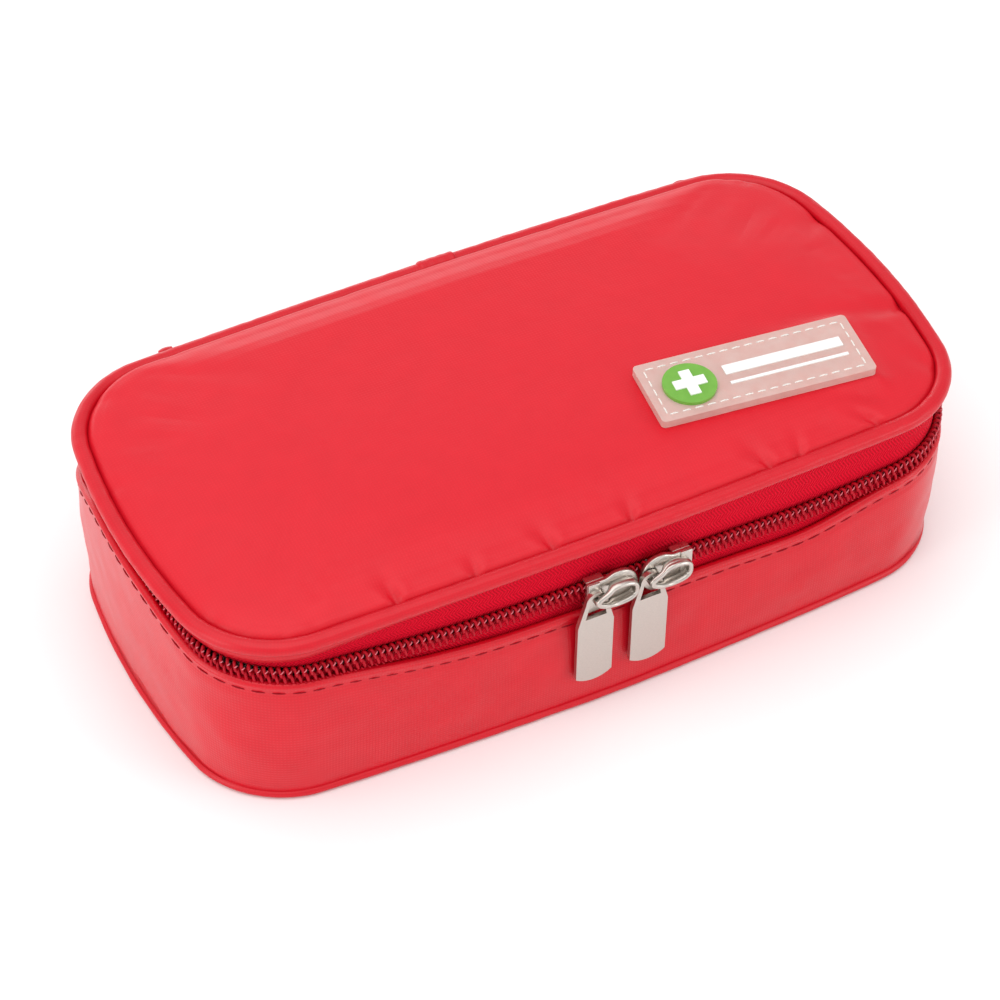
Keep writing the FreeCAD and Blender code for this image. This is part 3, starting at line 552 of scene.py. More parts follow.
RED = (219, 16, 37)
RED_DEEP = (204, 9, 31)
LID_RED = coated_fabric("shell_lid", True, RED, RED_DEEP, 0.46, 0.016)
WALL_RED = coated_fabric("shell_wall", False, RED, (196, 8, 28), 0.3, 0.028)
PIPING_RED = coated_fabric("shell_piping", False, (214, 14, 36), (194, 8, 28), 0.4, 0.014)
TAPE_RED = herringbone_tape("zip_tape_weave", (230, 2, 42), (186, 0, 28))
COIL_RED = mottled("zip_coil_nylon", (198, 2, 34), (150, 0, 20), 0.5, 3.0, 0.01, Specular_IOR_Level=0.2)
STITCH_RED = thread("thread_dark_red", (160, 4, 26), (132, 0, 18), 0.5)
STITCH_ZIP = thread("thread_zip_red", (196, 6, 36), (160, 0, 24), 0.4)
# Pale pink is a painted highlight on a real sewing thread: it stands for the pale glints along the upper
# coil's turns.
STITCH_PINK_HIGHLIGHT = thread("thread_pink_painted_highlight", (232, 138, 146), (206, 84, 98), 0.4)
STITCH_WHITE = thread("thread_white_cotton", (250, 246, 240), (214, 206, 198), 0.5)
NICKEL = brushed_metal("satin_nickel", (214, 206, 198), 0.3, (1.0, 1.0, 6.0))
STEEL = brushed_metal("tweezer_steel", (204, 206, 210), 0.26, (6.0, 0.6, 6.0))
CLEAR = clear_label("label_soft_clear")
GREEN = mottled("label_green_print", (118, 178, 62), (98, 160, 46), 0.36, 2.0, 0.02, Coat_Weight=0.3)
WHITE_PRINT = mottled("label_white_print", (250, 250, 248), (236, 234, 230), 0.42, 1.5, 0.01)
FOAM = mottled("foam_cells", (236, 228, 206), (196, 186, 160), 0.9, 0.8, 0.3)
BOARD = mottled("pressed_board", (92, 88, 82), (70, 66, 62), 0.7, 1.2, 0.1)
LINING = plain_weave("lining_taffeta", (176, 22, 38), (150, 12, 28), 0.55, 0.5, Sheen_Weight=0.2)
NET = plain_weave("pocket_net_yarn", (60, 58, 60), (36, 34, 36), 0.4, 0.6)
BINDING = plain_weave("binding_tape", (150, 14, 34), (120, 8, 26), 0.7, 0.6, 0.1)
CORE = thread("piping_core_cord", (236, 232, 222), (196, 190, 176), 1.2)
COTTON = plain_weave("bandage_cotton", (246, 242, 230), (214, 206, 188), 1.1, 0.85, 0.16, Sheen_Weight=0.3)
MEDICAL_TAPE = plain_weave("medical_tape_cloth", (240, 226, 206), (224, 206, 184), 0.5, 0.7, 0.05)
CARD = mottled("core_card", (182, 150, 112), (156, 124, 88), 0.85, 0.6, 0.06)
PAPER = mottled("wrap_paper", (244, 244, 242), (222, 224, 226), 0.6, 2.5, 0.05)
FOIL = brushed_metal("sachet_foil", (206, 214, 222), 0.26, (1.0, 1.0, 1.0))

# ---------------------------------------------------------------- camera, lights and floor

CAMERA_PLACE = Vector((-0.25626, -0.47092, 0.53892))
CAMERA_AIM = Vector((-0.00529, -0.00365, 0.020))
CAMERA_LENS = 127.06
CAMERA_ROLL = math.radians(1.057)


def make_camera():
    data = bpy.data.cameras.new("camera")
    data.lens = CAMERA_LENS
    data.sensor_width = 36.0
    data.clip_start = 0.01
    camera = bpy.data.objects.new("camera", data)
    bpy.context.scene.collection.objects.link(camera)
    forward = (CAMERA_AIM - CAMERA_PLACE).normalized()
    level = forward.cross(Vector((0, 0, 1))).normalized()
    above = level.cross(forward)
    right = level * math.cos(CAMERA_ROLL) + above * math.sin(CAMERA_ROLL)
    up = above * math.cos(CAMERA_ROLL) - level * math.sin(CAMERA_ROLL)
    turn = Matrix((right, up, -forward)).transposed()
    camera.matrix_world = Matrix.Translation(CAMERA_PLACE) @ turn.to_4x4()
    bpy.context.scene.camera = camera


def make_light(name, place, aim, size, power, colour=(1, 1, 1)):
    data = bpy.data.lights.new(name, "AREA")
    data.shape = "RECTANGLE"
    data.size, data.size_y = size
    data.energy = power
    data.color = colour
    light = bpy.data.objects.new(name, data)
    bpy.context.scene.collection.objects.link(light)
    light.location = place
    light.rotation_euler = (Vector(aim) - Vector(place)).to_track_quat("-Z", "Y").to_euler()


def make_stage():
    world = bpy.data.worlds.new("studio")
    bpy.context.scene.world = world
    world.use_nodes = True
    world.node_tree.nodes["Background"].inputs["Color"].default_value = (1, 1, 1, 1)
    world.node_tree.nodes["Background"].inputs["Strength"].default_value = 0.7
    floor_points = np.array([[[x, y, -0.15] for y in (-3000, 3000)] for x in (-3000, 3000)], float)
    floor = lattice("floor", floor_points)
    floor.data.materials.append(mottled("floor_white", (252, 252, 252), (249, 249, 249), 0.8, 40.0, 0.0))
    make_light("overhead", (-0.25, -0.1, 1.4), (0, 0, 0.03), (1.9, 1.7), 13.0)
    make_light("left", (-0.9, -0.15, 0.3), (0, 0, 0.03), (0.35, 0.5), 2.2)
    make_light("right", (0.75, -0.8, 0.35), (0, 0, 0.02), (0.5, 0.4), 2.6)
    make_light("rim", (0.1, 1.1, 0.25), (0, 0, 0.04), (1.4, 0.3), 3.0)


# ---------------------------------------------------------------- base


# How far the foot of the wall stands outside the outline: out along the front, in at the corners and ends.
FOOT_OUTSET = Level(
    [
        (0, 45, 0.0), (63, 45, 0.0), (80, 38, -0.8), (88, 0, -1.4), (80, -38, -1.5),
        (60, -44, -0.2), (0, -45, 1.2), (-50, -44, 0.2), (-66, -43, -0.2), (-80, -38, -0.9),
        (-88, 0, -1.0), (-80, 38, -0.6), (-57, 45, 0.0),
    ]
)


def hem_cover(along):
    """How much of the zip the hem covers, from 0 where it stays below the coil to 1 where it hides it."""
    above = hem_height(along) - zip_height(along)
    return np.clip((above + 2.0) / 3.0, 0, 1)


WALL_FOOT = 1.0
HEM_ROLL = 0.9
HEM_TURN_IN = 8.0


def wall_profile(hem):
    """Closed section of wall and hem, from the bottom out: (height, outset, share of the wall's swell)."""
    section = [(z, WALL_OUTSET, 1.0) for z in np.linspace(WALL_FOOT, hem - 1.0, 30)]
    for angle in np.linspace(0.25, math.pi - 0.25, 5):
        height = hem - HEM_ROLL + HEM_ROLL * math.sin(angle)
        section.append((height, -0.05 + HEM_ROLL * math.cos(angle), 1.0))
    section += [(z, -0.9, 0.0) for z in np.linspace(hem - 1.2, hem - HEM_TURN_IN, 4)]
    section += [(z, -0.12, 0.0) for z in np.linspace(hem - HEM_TURN_IN, hem - 1.4, 3)]
    section += [(z, 0.0, 0.0) for z in np.linspace(hem - 1.6, WALL_FOOT, 5)]
    return section


END_BULGE = 0.15
SIDE_BULGE = 0.7
HEM_LIP = 0.25
SEAM_PINCH = 0.4
BROAD_CREASES = 0.45
FINE_CREASES = 0.18
STITCH_BELOW_HEM = 2.5
STITCH_SPACING = 3.9
STITCH_LENGTH = 3.3
STITCH_RADIUS = 0.19


def wall_swell(along, height, hem):
    """How far the outer face stands out: a soft bulge, a pinch along the topstitch and slow creases."""
    share = np.clip((height - WALL_FOOT) / (hem - WALL_FOOT), 0, 1)
    lean = FOOT_OUTSET.at(along)[:, None] * (1 - share) ** 1.3
    facing = np.abs(LINE.at(along)[1][:, 1])[:, None]
    bulge = (END_BULGE + SIDE_BULGE * facing) * np.sin(math.pi * share)
    pinch = -SEAM_PINCH * np.exp(-(((height - (hem - STITCH_BELOW_HEM)) / 0.7) ** 2))
    lip = HEM_LIP * np.exp(-(((height - (hem - 1.0)) / 0.8) ** 2))
    over_coil = 0.7 * hem_cover(along)[:, None] * share**3
    pinch = pinch * (1 - 0.7 * hem_cover(along)[:, None])
    creases = BROAD_CREASES * wrinkle(along, height, 16.0, 3.0)
    creases = creases + FINE_CREASES * wrinkle(along, height, 6.0, 9.0)
    held = np.sin(math.pi * np.clip(share * 0.96 + 0.02, 0, 1))
    return lean + bulge + pinch + lip + over_coil + creases * held


def make_base_wall():
    along = LINE.even(1.0)
    hems = hem_height(along)
    sections = np.array([wall_profile(h) for h in hems])
    height = sections[:, :, 0]
    swell = wall_swell(along, height, hems[:, None])
    outset = sections[:, :, 1] + sections[:, :, 2] * swell
    wall = lattice("base_wall", ring_points(along, outset, height), loop_u=True, loop_v=True)
    finish_piece(wall, "base", "shell_fabric", WALL_RED, "base_side_wall", "base_wall_hem")


def make_topstitch():
    along = LINE.even(STITCH_SPACING)
    hem = hem_height(along)
    height = (hem - STITCH_BELOW_HEM)[:, None]
    outset = WALL_OUTSET + 0.15 + wall_swell(along, height, hem[:, None])
    centres = ring_points(along, outset, height)[:, 0]
    ahead = ring_points(along + 0.5, outset, height)[:, 0]
    behind = ring_points(along - 0.5, outset, height)[:, 0]
    run = ahead - behind
    run[:, 2] = HEM_LIFT.at(along + 0.5) - HEM_LIFT.at(along - 0.5)
    run = unit(run)
    stitches = capsules("base_topstitch_thread", centres, run, outward(along), STITCH_LENGTH, STITCH_RADIUS)
    finish_piece(stitches, "base", "thread_red", STITCH_RED, "base_topstitch")


WELT_RADIUS = 0.85
WELT_OUTSET = 0.75
WELT_HEIGHT = 1.02


def tube_along(name, along, outset, height, radius, sides, loop=True):
    """A tube on the outline. Its radius is a column, or a grid with one value for each corner."""
    angle = circle(sides)
    section = outset[:, None] + radius * np.cos(angle)[None, :]
    level = height[:, None] + radius * np.sin(angle)[None, :]
    return lattice(name, ring_points(along, section, level), loop_u=loop, loop_v=True, caps=not loop)


def make_bottom_welt():
    """The bound seam where the wall meets the bottom."""
    along = LINE.even(1.2)
    radius = (WELT_RADIUS + 0.1 * unevenness(along, 7.0, 4.0, 0))[:, None]
    outset = WELT_OUTSET + FOOT_OUTSET.at(along)
    welt = tube_along("base_bottom_welt", along, outset, np.full(len(along), WELT_HEIGHT), radius, 12)
    finish_piece(welt, "base", "shell_fabric", PIPING_RED, "base_bottom_binding")


def plate_points(outset, rings, heights, spacing=2.0):
    """Rings of points from the outline's edge in to its middle line. heights(x, y, depth, along) gives z."""
    along = LINE.even(spacing)
    points, normals = LINE.at(along)
    edge = points + np.broadcast_to(outset(along), len(along))[:, None] * normals
    reach = HALF_LENGTH - HALF_DEPTH
    middle = np.stack([np.clip(edge[:, 0], -reach, reach), np.zeros(len(edge))], axis=1)
    grid = edge[:, None, :] + (middle - edge)[:, None, :] * rings[None, :, None]
    depth = np.linalg.norm(grid - edge[:, None, :], axis=2)
    z = heights(grid[:, :, 0], grid[:, :, 1], depth, along)
    return np.concatenate([grid, z[:, :, None]], axis=2)


def remesh(obj, operation):
    """Runs an operation on an object's whole mesh."""
    mesh = bmesh.new()
    mesh.from_mesh(obj.data)
    operation(mesh)
    mesh.to_mesh(obj.data)
    mesh.free()
    return obj


def weld(obj, distance):
    """Joins points that fall together, so that a plate closes along its middle line."""
    remesh(obj, lambda mesh: bmesh.ops.remove_doubles(mesh, verts=mesh.verts, dist=distance * MM))
    obj.data.shade_smooth()
    return obj


def face_outwards(obj):
    return remesh(obj, lambda mesh: bmesh.ops.recalc_face_normals(mesh, faces=mesh.faces))


def plate(name, points, distance=0.04):
    """A mesh over rings of points that close along the outline's middle line."""
    return weld(lattice(name, points, loop_u=True), distance)


def thicken(obj, thickness, offset):
    solid = obj.modifiers.new("thickness", "SOLIDIFY")
    solid.thickness = thickness * MM
    solid.offset = offset
    return obj


def apply_modifiers(obj):
    bpy.context.view_layer.update()
    done = bpy.data.meshes.new_from_object(obj.evaluated_get(bpy.context.evaluated_depsgraph_get()))
    old = obj.data
    obj.modifiers.clear()
    obj.data = done
    bpy.data.meshes.remove(old)
    return obj


EDGE_RINGS = np.array([0.0, 0.02, 0.05, 0.09, 0.14, 0.2, 0.3, 0.42, 0.56, 0.7, 0.85, 1.0])


def flat_at(height):
    """Heights for plate_points, the same everywhere."""
    return lambda x, y, depth, along: np.full(depth.shape, height)


BOTTOM_OUTSET = 0.9
BOTTOM_HEIGHT = 0.45


def make_bottom_panel():
    points = plate_points(lambda s: BOTTOM_OUTSET + FOOT_OUTSET.at(s), EDGE_RINGS, flat_at(BOTTOM_HEIGHT))
    panel = plate("base_bottom", points, 0.05)
    thicken(panel, FABRIC, 0.0)
    finish_piece(panel, "base", "shell_fabric", LID_RED, "base_bottom_panel")


# ---------------------------------------------------------------- lid

PANEL_INSET = 0.9
PANEL_EDGE = 42.8
# Gathers where the padded panel is sewn to the piping: place on the outline, depth, half width, reach, slant.
GATHERS = [
    (-47.9, -45, 1.9, 0.8, 4.6, 0.25), (-31.1, -45, 1.2, 0.7, 3.8, -0.15),
    (-13.7, -45, 1.7, 0.8, 4.4, 0.2), (3.5, -45, 1.4, 0.7, 4.0, -0.2),
    (36.5, -45, 1.6, 0.8, 4.4, 0.35), (43.0, -45, 1.2, 0.7, 3.8, -0.3),
    (63.1, -44, 1.2, 0.8, 4.4, 0.3), (-66.0, -43, 0.3, 0.9, 3, 0.2),
    (-73.0, -41, 0.35, 0.9, 3, -0.2), (-79.0, -37, 0.35, 0.9, 3, 0.2),
    (-83.0, -31, 0.3, 0.9, 3, -0.1), (-87.0, 12, 0.35, 1.2, 4, 0.2), (-80.0, 37, 0.3, 1.3, 5, 0.2),
    (-60.0, 44, 0.2, 1.4, 5, 0.0), (-20.0, 45, 0.15, 1.6, 6, 0.2), (30.0, 45, 0.15, 1.6, 6, -0.2),
    (73.2, 40, 0.3, 1.2, 5, 0.2), (78.0, 38, 0.25, 1.1, 4, -0.2), (86.5, 21, 0.7, 2.0, 8, 0.1),
    (86.0, -12, 1.1, 1.9, 14, 0.35), (82.0, -33, 0.6, 1.8, 7, -0.2),
]


def wrapped_gap(along, place):
    """Signed distance along the outline, the short way round."""
    return np.mod(along - place + LINE.length / 2, LINE.length) - LINE.length / 2


SHOULDER_AT = 2.1
SHOULDER_SHARE = 0.1


def gather_depth(along, depth):
    """How far the panel sinks at its gathers, given distances along the edge and in from it."""
    sink = np.zeros(np.broadcast(along, depth).shape)
    for x, y, amount, width, reach, slant in GATHERS:
        offset = wrapped_gap(along, LINE.near(x, y)) - slant * depth
        spread = width * (1 + depth / reach)
        valley = np.exp(-((offset / spread) ** 2))
        shoulder = np.exp(-(((np.abs(offset) - SHOULDER_AT * spread) / spread) ** 2))
        fade = np.exp(-((depth / reach) ** 2)) * (1 - np.exp(-depth / 0.8))
        sink = sink + amount * (valley - SHOULDER_SHARE * shoulder) * fade
    return sink


ROLL_WIDTH = 1.05
DOME_WIDTH = 34.0
DOME_POWER = 2.2


def crown_height(depth, normals):
    """Height of the padded panel, from its seam to the flat of its crown, given the edge's outward normals.

    Beside the two ends the panel starts with a narrow flat valley, and along the back it swells the most.
    """
    valley = END_VALLEY * normals[:, :1] ** 2
    inside = np.maximum(depth - valley, 0.0)
    roll_height = CROWN_ROLL + BACK_SWELL * np.clip(normals[:, 1:], 0, 1) ** 2
    roll = roll_height * (1 - np.exp(-inside / ROLL_WIDTH))
    rise = CROWN_TOP - PANEL_EDGE - roll_height
    return PANEL_EDGE + roll + rise * (1 - (1 - np.clip(inside / DOME_WIDTH, 0, 1)) ** DOME_POWER)


COARSE_SPACING = 3.0
PRESSURE = 4.0
SIMULATED_FRAMES = 20
MOST_RISE = 0.6
MOST_FALL = 0.9


def pressed_panel(rings):
    """How far a padded cover of woven cloth, sewn down round its edge, swells from the plain crown.

    A coarse cover starts a little below the crown and Cloth blows it up. The result has one height
    for each point.
    """

    def start(x, y, depth, along):
        return crown_height(depth, LINE.at(along)[1]) - np.minimum(0.25 * depth, 1.2)

    grid = plate_points(lambda s: -PANEL_INSET, rings, start, COARSE_SPACING)
    cover = plate("cover", grid, 0.05)
    edge = cover.vertex_groups.new(name="sewn")
    rim = {tuple(np.round(p, 3)) for p in grid[:, 0]}
    sewn = [v.index for v in cover.data.vertices if tuple(np.round(np.array(v.co) / MM, 3)) in rim]
    edge.add(sewn, 1.0, "REPLACE")
    cloth = cover.modifiers.new("cloth", "CLOTH")
    cloth.settings.vertex_group_mass = "sewn"
    cloth.settings.use_pressure = True
    cloth.settings.uniform_pressure_force = PRESSURE
    cloth.settings.effector_weights.gravity = 0.0
    cloth.settings.quality = 6
    cloth.point_cache.frame_start = 1
    cloth.point_cache.frame_end = SIMULATED_FRAMES
    rest = [v.co.copy() for v in cover.data.vertices]
    for moment in range(1, SIMULATED_FRAMES + 1):
        bpy.context.scene.frame_set(moment)
    apply_modifiers(cover)
    bpy.context.scene.frame_set(1)
    found = kdtree.KDTree(len(rest))
    for index, place in enumerate(rest):
        found.insert(place, index)
    found.balance()
    swell = np.zeros(grid.shape[:2])
    for i in range(grid.shape[0]):
        for k in range(grid.shape[1]):
            index = found.find(Vector(grid[i, k] * MM))[1]
            swell[i, k] = cover.data.vertices[index].co.z / MM
    bpy.data.objects.remove(cover)
    depth = np.linalg.norm(grid[:, :, :2] - grid[:, :1, :2], axis=2)
    crown = crown_height(depth, LINE.at(LINE.even(COARSE_SPACING))[1])
    return np.clip(swell - crown, -MOST_FALL, MOST_RISE)


def spread_over(coarse, coarse_rings, fine_rings, count):
    """Values on a coarse ring grid, read between its points on a finer one."""
    across = np.array([np.interp(fine_rings, coarse_rings, row) for row in coarse])
    rows = np.arange(len(coarse) + 1)
    closed = np.concatenate([across, across[:1]])
    at = np.arange(count) * len(coarse) / count
    return np.stack([np.interp(at, rows, closed[:, k]) for k in range(len(fine_rings))], axis=1)


LABEL_PULL = 3.0


def label_seat(x, y, depth):
    """At each point, the height of the label's underside and how far the panel sewn to it follows it."""
    top, long_way, short_way, up, half = label_frame()
    foot = top - up * (2 * half[2] + 0.03)
    level = foot[2] - ((x - foot[0]) * up[0] + (y - foot[1]) * up[1]) / up[2]
    spot = np.stack([x - foot[0], y - foot[1], level - foot[2]], axis=-1)
    beyond_long = np.maximum(np.abs(spot @ long_way) - half[0] + 0.4, 0)
    beyond_short = np.maximum(np.abs(spot @ short_way) - half[1] + 0.4, 0)
    follow = np.exp(-((np.hypot(beyond_long, beyond_short) / LABEL_PULL) ** 2))
    return level, follow * (1 - np.exp(-depth / 1.2))


def make_lid_panel():
    rings = np.concatenate([np.linspace(0, 0.3, 34), np.linspace(0.32, 1.0, 24)])
    coarse_rings = np.linspace(0, 1, 17)
    swell = pressed_panel(coarse_rings)

    def height(x, y, depth, along):
        dome = crown_height(depth, LINE.at(along)[1]) + PIPING_LIFT.at(along)[:, None] * np.exp(-depth / 14)
        dome = dome + spread_over(swell, coarse_rings, rings, len(along))
        slow = np.zeros(x.shape)
        for i in range(x.shape[0]):
            for k in range(x.shape[1]):
                slow[i, k] = noise.noise(Vector((x[i, k] / 34.0, y[i, k] / 26.0, 2.5)))
        dome = dome - gather_depth(along[:, None], depth) + 0.3 * slow * np.clip(depth / 10, 0, 1)
        level, follow = label_seat(x, y, depth)
        return dome * (1 - follow) + level * follow

    points = plate_points(lambda s: -PANEL_INSET, rings, height, 0.5)
    panel = plate("lid_panel", points, 0.05)
    thicken(panel, FABRIC, -1.0)
    finish_piece(panel, "lid", "shell_fabric", LID_RED, "lid_top_panel")


def make_piping():
    along = LINE.even(0.8)
    angle = circle(20)
    slow = unevenness(along, 9.0, 0.5, 0)
    fine = np.array([[noise.noise(Vector((s / 2.2, a * 1.4, 7.0))) for a in angle] for s in along])
    flat = 1 + 0.05 * np.cos(2 * angle + 0.6)[None, :]
    radius = PIPING_RADIUS * flat * (1 + 0.04 * slow[:, None]) + 0.09 * fine
    piping = tube_along("lid_piping", along, np.zeros(len(along)), piping_height(along), radius, 20)
    finish_piece(piping, "lid", "piping_fabric", PIPING_RED, "lid_piping_cover")


def ribbon(name, along, outset, low, high, thickness, rows, loop):
    """A strip standing on edge round the outline. outset, low and high are arrays or numbers."""
    count = len(along)
    outset = np.broadcast_to(outset, (count,))[:, None]
    low = np.broadcast_to(low, (count,))[:, None]
    high = np.broadcast_to(high, (count,))[:, None]
    share = np.linspace(0, 1, rows)
    up = low + (high - low) * share[None, :]
    outer = np.broadcast_to(outset + thickness / 2, up.shape)
    inner = np.broadcast_to(outset - thickness / 2, up.shape)
    height = np.concatenate([up, up[:, ::-1]], axis=1)
    section = np.concatenate([outer, inner[:, ::-1]], axis=1)
    return lattice(name, ring_points(along, section, height), loop_u=loop, loop_v=True, caps=not loop)


TAPE_OUTSET = -1.3
TAPE_THICKNESS = 0.6
TAPE_GAP = 1.5
TAPE_FOOT = 17.0


def make_tapes():
    along = LINE.even(1.0)
    lift = ZIP_LIFT.at(along)
    low_edge = ZIP_HEIGHT + TAPE_GAP + lift
    high_edge = PIPING_HEIGHT - 0.4 + PIPING_LIFT.at(along)
    upper = ribbon("lid_tape", along, TAPE_OUTSET, low_edge, high_edge, TAPE_THICKNESS, 10, True)
    finish_piece(upper, "lid", "zip_tape", TAPE_RED, "lid_zip_tape")
    high_edge = ZIP_HEIGHT - TAPE_GAP + lift
    lower = ribbon("base_tape", along, TAPE_OUTSET, TAPE_FOOT, high_edge, TAPE_THICKNESS, 12, True)
    finish_piece(lower, "base", "zip_tape", TAPE_RED, "base_zip_tape")


def zip_span(spacing, trim=0.0):
    """Distances along the zip, from its right end at the back, round the front, to its left end."""
    count = int((ZIP_END - ZIP_START - 2 * trim) / spacing)
    return ZIP_START + trim + np.arange(count + 1) * spacing


COIL_WIRE = 0.33
COIL_HALF_WIDTH = 1.08
COIL_HALF_THICKNESS = 0.62
COIL_OFFSET = 0.86
COIL_TUCK = 0.6
THREAD_SLANT = 1.2


def make_coil(name, body, node, side):
    """Half of the zip's coil: one monofilament helix, flattened, whose turns mesh with the other half's."""
    per_turn = 12
    along = zip_span(COIL_PITCH / per_turn, 1.0)
    turn = 2 * math.pi * (along - along[0]) / COIL_PITCH + (math.pi if side > 0 else 0)
    points, normals = LINE.at(along)
    outset = -0.08 - COIL_TUCK * hem_cover(along) + COIL_HALF_THICKNESS * np.cos(turn)
    width = COIL_HALF_WIDTH * np.sin(turn)
    height = zip_height(along) + side * COIL_OFFSET + width
    path = np.concatenate([points + outset[:, None] * normals, height[:, None]], axis=1)
    tangent = np.gradient(path, axis=0)
    tangent = unit(tangent)
    first = np.cross(tangent, outward(along))
    first = unit(first)
    second = np.cross(tangent, first)
    angle = circle(6)
    around = first[:, None] * np.cos(angle)[None, :, None] + second[:, None] * np.sin(angle)[None, :, None]
    tube = path[:, None] + COIL_WIRE * around
    coil = lattice(name, tube, loop_v=True, caps=True)
    finish_piece(coil, body, "zip_coil", COIL_RED, node)


def make_coil_stitches(name, body, side, material):
    """The slanting thread that sews each turn of the coil to its tape."""
    along = zip_span(COIL_PITCH, 1.5)
    height = (zip_height(along) + side * (COIL_OFFSET + 0.75))[:, None]
    outset = (0.78 - COIL_TUCK * hem_cover(along))[:, None]
    centres = ring_points(along, outset, height)[:, 0]
    out = outward(along)
    run = np.stack([-out[:, 1], out[:, 0], np.full(len(along), THREAD_SLANT * side)], axis=1)
    run = unit(run)
    threads = capsules(name, centres, run, out, 1.1, 0.13)
    finish_piece(threads, body, "thread_white", material)


# ---------------------------------------------------------------- back hinge and zip ends


HINGE_TOP_OUTSET = 0.5


def hinge_back(along, up):
    """Outset of the hinge panel's inner face: it lies on the wall, then leans in under the piping."""
    hem = hem_height(along)[:, None]
    on_wall = WALL_OUTSET + 0.05 + wall_swell(along, np.minimum(up, hem), hem)
    share = np.clip((up - hem) / (PIPING_HEIGHT - hem), 0, 1)
    return on_wall * (1 - share) + HINGE_TOP_OUTSET * share


def make_hinge():
    low, high = heights_mm("hinge_panel_lower", "hinge_panel_upper")
    along = np.linspace(ZIP_END - LINE.length, ZIP_START, 121)
    up = np.repeat(np.linspace(low, high, 26)[None, :], len(along), axis=0)
    back = hinge_back(along, up)
    section = np.concatenate([back + FABRIC, back[:, ::-1]], axis=1)
    height = np.concatenate([up, up[:, ::-1]], axis=1)
    hinge = lattice("hinge_panel", ring_points(along, section, height), loop_v=True, caps=True)
    finish_piece(hinge, None, "shell_fabric", WALL_RED, "hinge_panel_lower", "hinge_panel_upper")
    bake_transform(hinge)


def make_hinge_stitches():
    """The row of stitches that sews the hinge panel's lower edge to the wall."""
    low, _ = heights_mm("hinge_panel_lower")
    along = np.arange(ZIP_END - LINE.length + 3.0, ZIP_START - 2.0, STITCH_SPACING)
    height = np.full((len(along), 1), low + 1.6)
    centres = ring_points(along, hinge_back(along, height) + FABRIC + 0.12, height)[:, 0]
    lifts = outward(along)
    runs = np.stack([lifts[:, 1], -lifts[:, 0], lifts[:, 2]], axis=1)
    stitches = capsules("hinge_thread", centres, runs, lifts, 3.0, STITCH_RADIUS)
    finish_piece(stitches, "base", "thread_red", STITCH_RED)


# How far below the piping's centre its seam allowance reaches.
FLANGE_DROP = Level(
    [(0, 45, 3.0), (88, 0, 3.0), (0, -45, 3.0), (-50, -44, 3.2), (-66, -43, 4.5), (-88, -10, 4.6)]
)


def make_piping_flange():
    """The piping's own seam allowance, just showing under it, with a slightly wavy lower edge."""
    along = LINE.even(0.8)
    wave = unevenness(along, 2.6, 1.0, 5.0)
    middle = piping_height(along)
    low = middle - FLANGE_DROP.at(along) + 0.22 * wave
    outset = -0.62 + 0.16 * wave
    flange = ribbon("lid_piping_flange", along, outset, low, middle - 1.0, 0.5, 5, True)
    finish_piece(flange, "lid", "piping_fabric", PIPING_RED)


def make_piping_core():
    along = LINE.even(1.5)
    core = tube_along("lid_piping_core", along, np.zeros(len(along)), piping_height(along), CORD_RADIUS, 10)
    finish_piece(core, "lid", "cord_core", CORE, "lid_piping_cord")


def make_piping_lap():
    """Where the piping's two ends lap at the back, one over the other."""
    along = np.linspace(-0.4, 8.4, 30)
    share = (along - along[0]) / (along[-1] - along[0])
    swell = np.clip(np.minimum(share, 1 - share) / 0.08, 0, 1) ** 0.5
    radius = (1.58 + 0.42 * swell + 0.04 * np.sin(along * 2.6))[:, None]
    middle = np.zeros(len(along))
    lap = tube_along("lid_piping_lap", along, middle, piping_height(along), radius, 18, False)
    finish_piece(lap, "lid", "piping_fabric", PIPING_RED, "lid_piping_splice")


def make_seam_binding():
    low, high = heights_mm("lid_seam_binding")
    along = LINE.even(1.2)
    fold = 0.12 * unevenness(along, 5.0, 8.0, 1.0)
    binding = ribbon("lid_inner_binding", along, -2.3 + fold, low, high, 0.9, 7, True)
    finish_piece(binding, "lid", "lining", BINDING, "lid_seam_binding")


TAB_WIDTH = 3.0
TAB_BELLY = 0.35


def make_end_tabs():
    """Folded fabric tabs over the zip's ends: a pair on the base and a pair on the lid, which rise higher."""
    for half, body, outset, rise in (("lower", "base", 2.0, 0.0), ("upper", "lid", 2.3, 2.0)):
        node = f"zip_end_tabs_{half}"
        low, high = box_mm(node)
        for side, x, inner in (("left", low.x, low.x + TAB_WIDTH), ("right", high.x, high.x - TAB_WIDTH)):
            ends = sorted(wrapped_gap(LINE.near(v, BACK_Y), 0.0) for v in (x, inner))
            along = np.linspace(ends[0], ends[1], 9)
            belly = TAB_BELLY * np.sin(np.linspace(0, math.pi, 9))
            tab = ribbon(f"zip_tab_{half}_{side}", along, outset + belly, low.z, high.z + rise, 0.9, 9, False)
            finish_piece(tab, body, "shell_fabric", WALL_RED, node)


# ---------------------------------------------------------------- padding and linings


def pad_points(outset, low, high):
    """A closed pad: its underside from the middle out, then its top from the edge back in."""
    under = plate_points(outset, EDGE_RINGS, low)[:, ::-1]
    over = plate_points(outset, EDGE_RINGS, high)
    return np.concatenate([under, over], axis=1)


FLOOR_PAD_OUTSET = -1.4
WALL_PAD_OUTSET = -2.95
WALL_PAD_THICKNESS = 2.4
LID_PAD_OUTSET = -4.0
LINING_TURN = 0.9
LINING_THICKNESS = 0.35
LID_PAD_LOW = 43.1
LID_PAD_COVER = 1.9


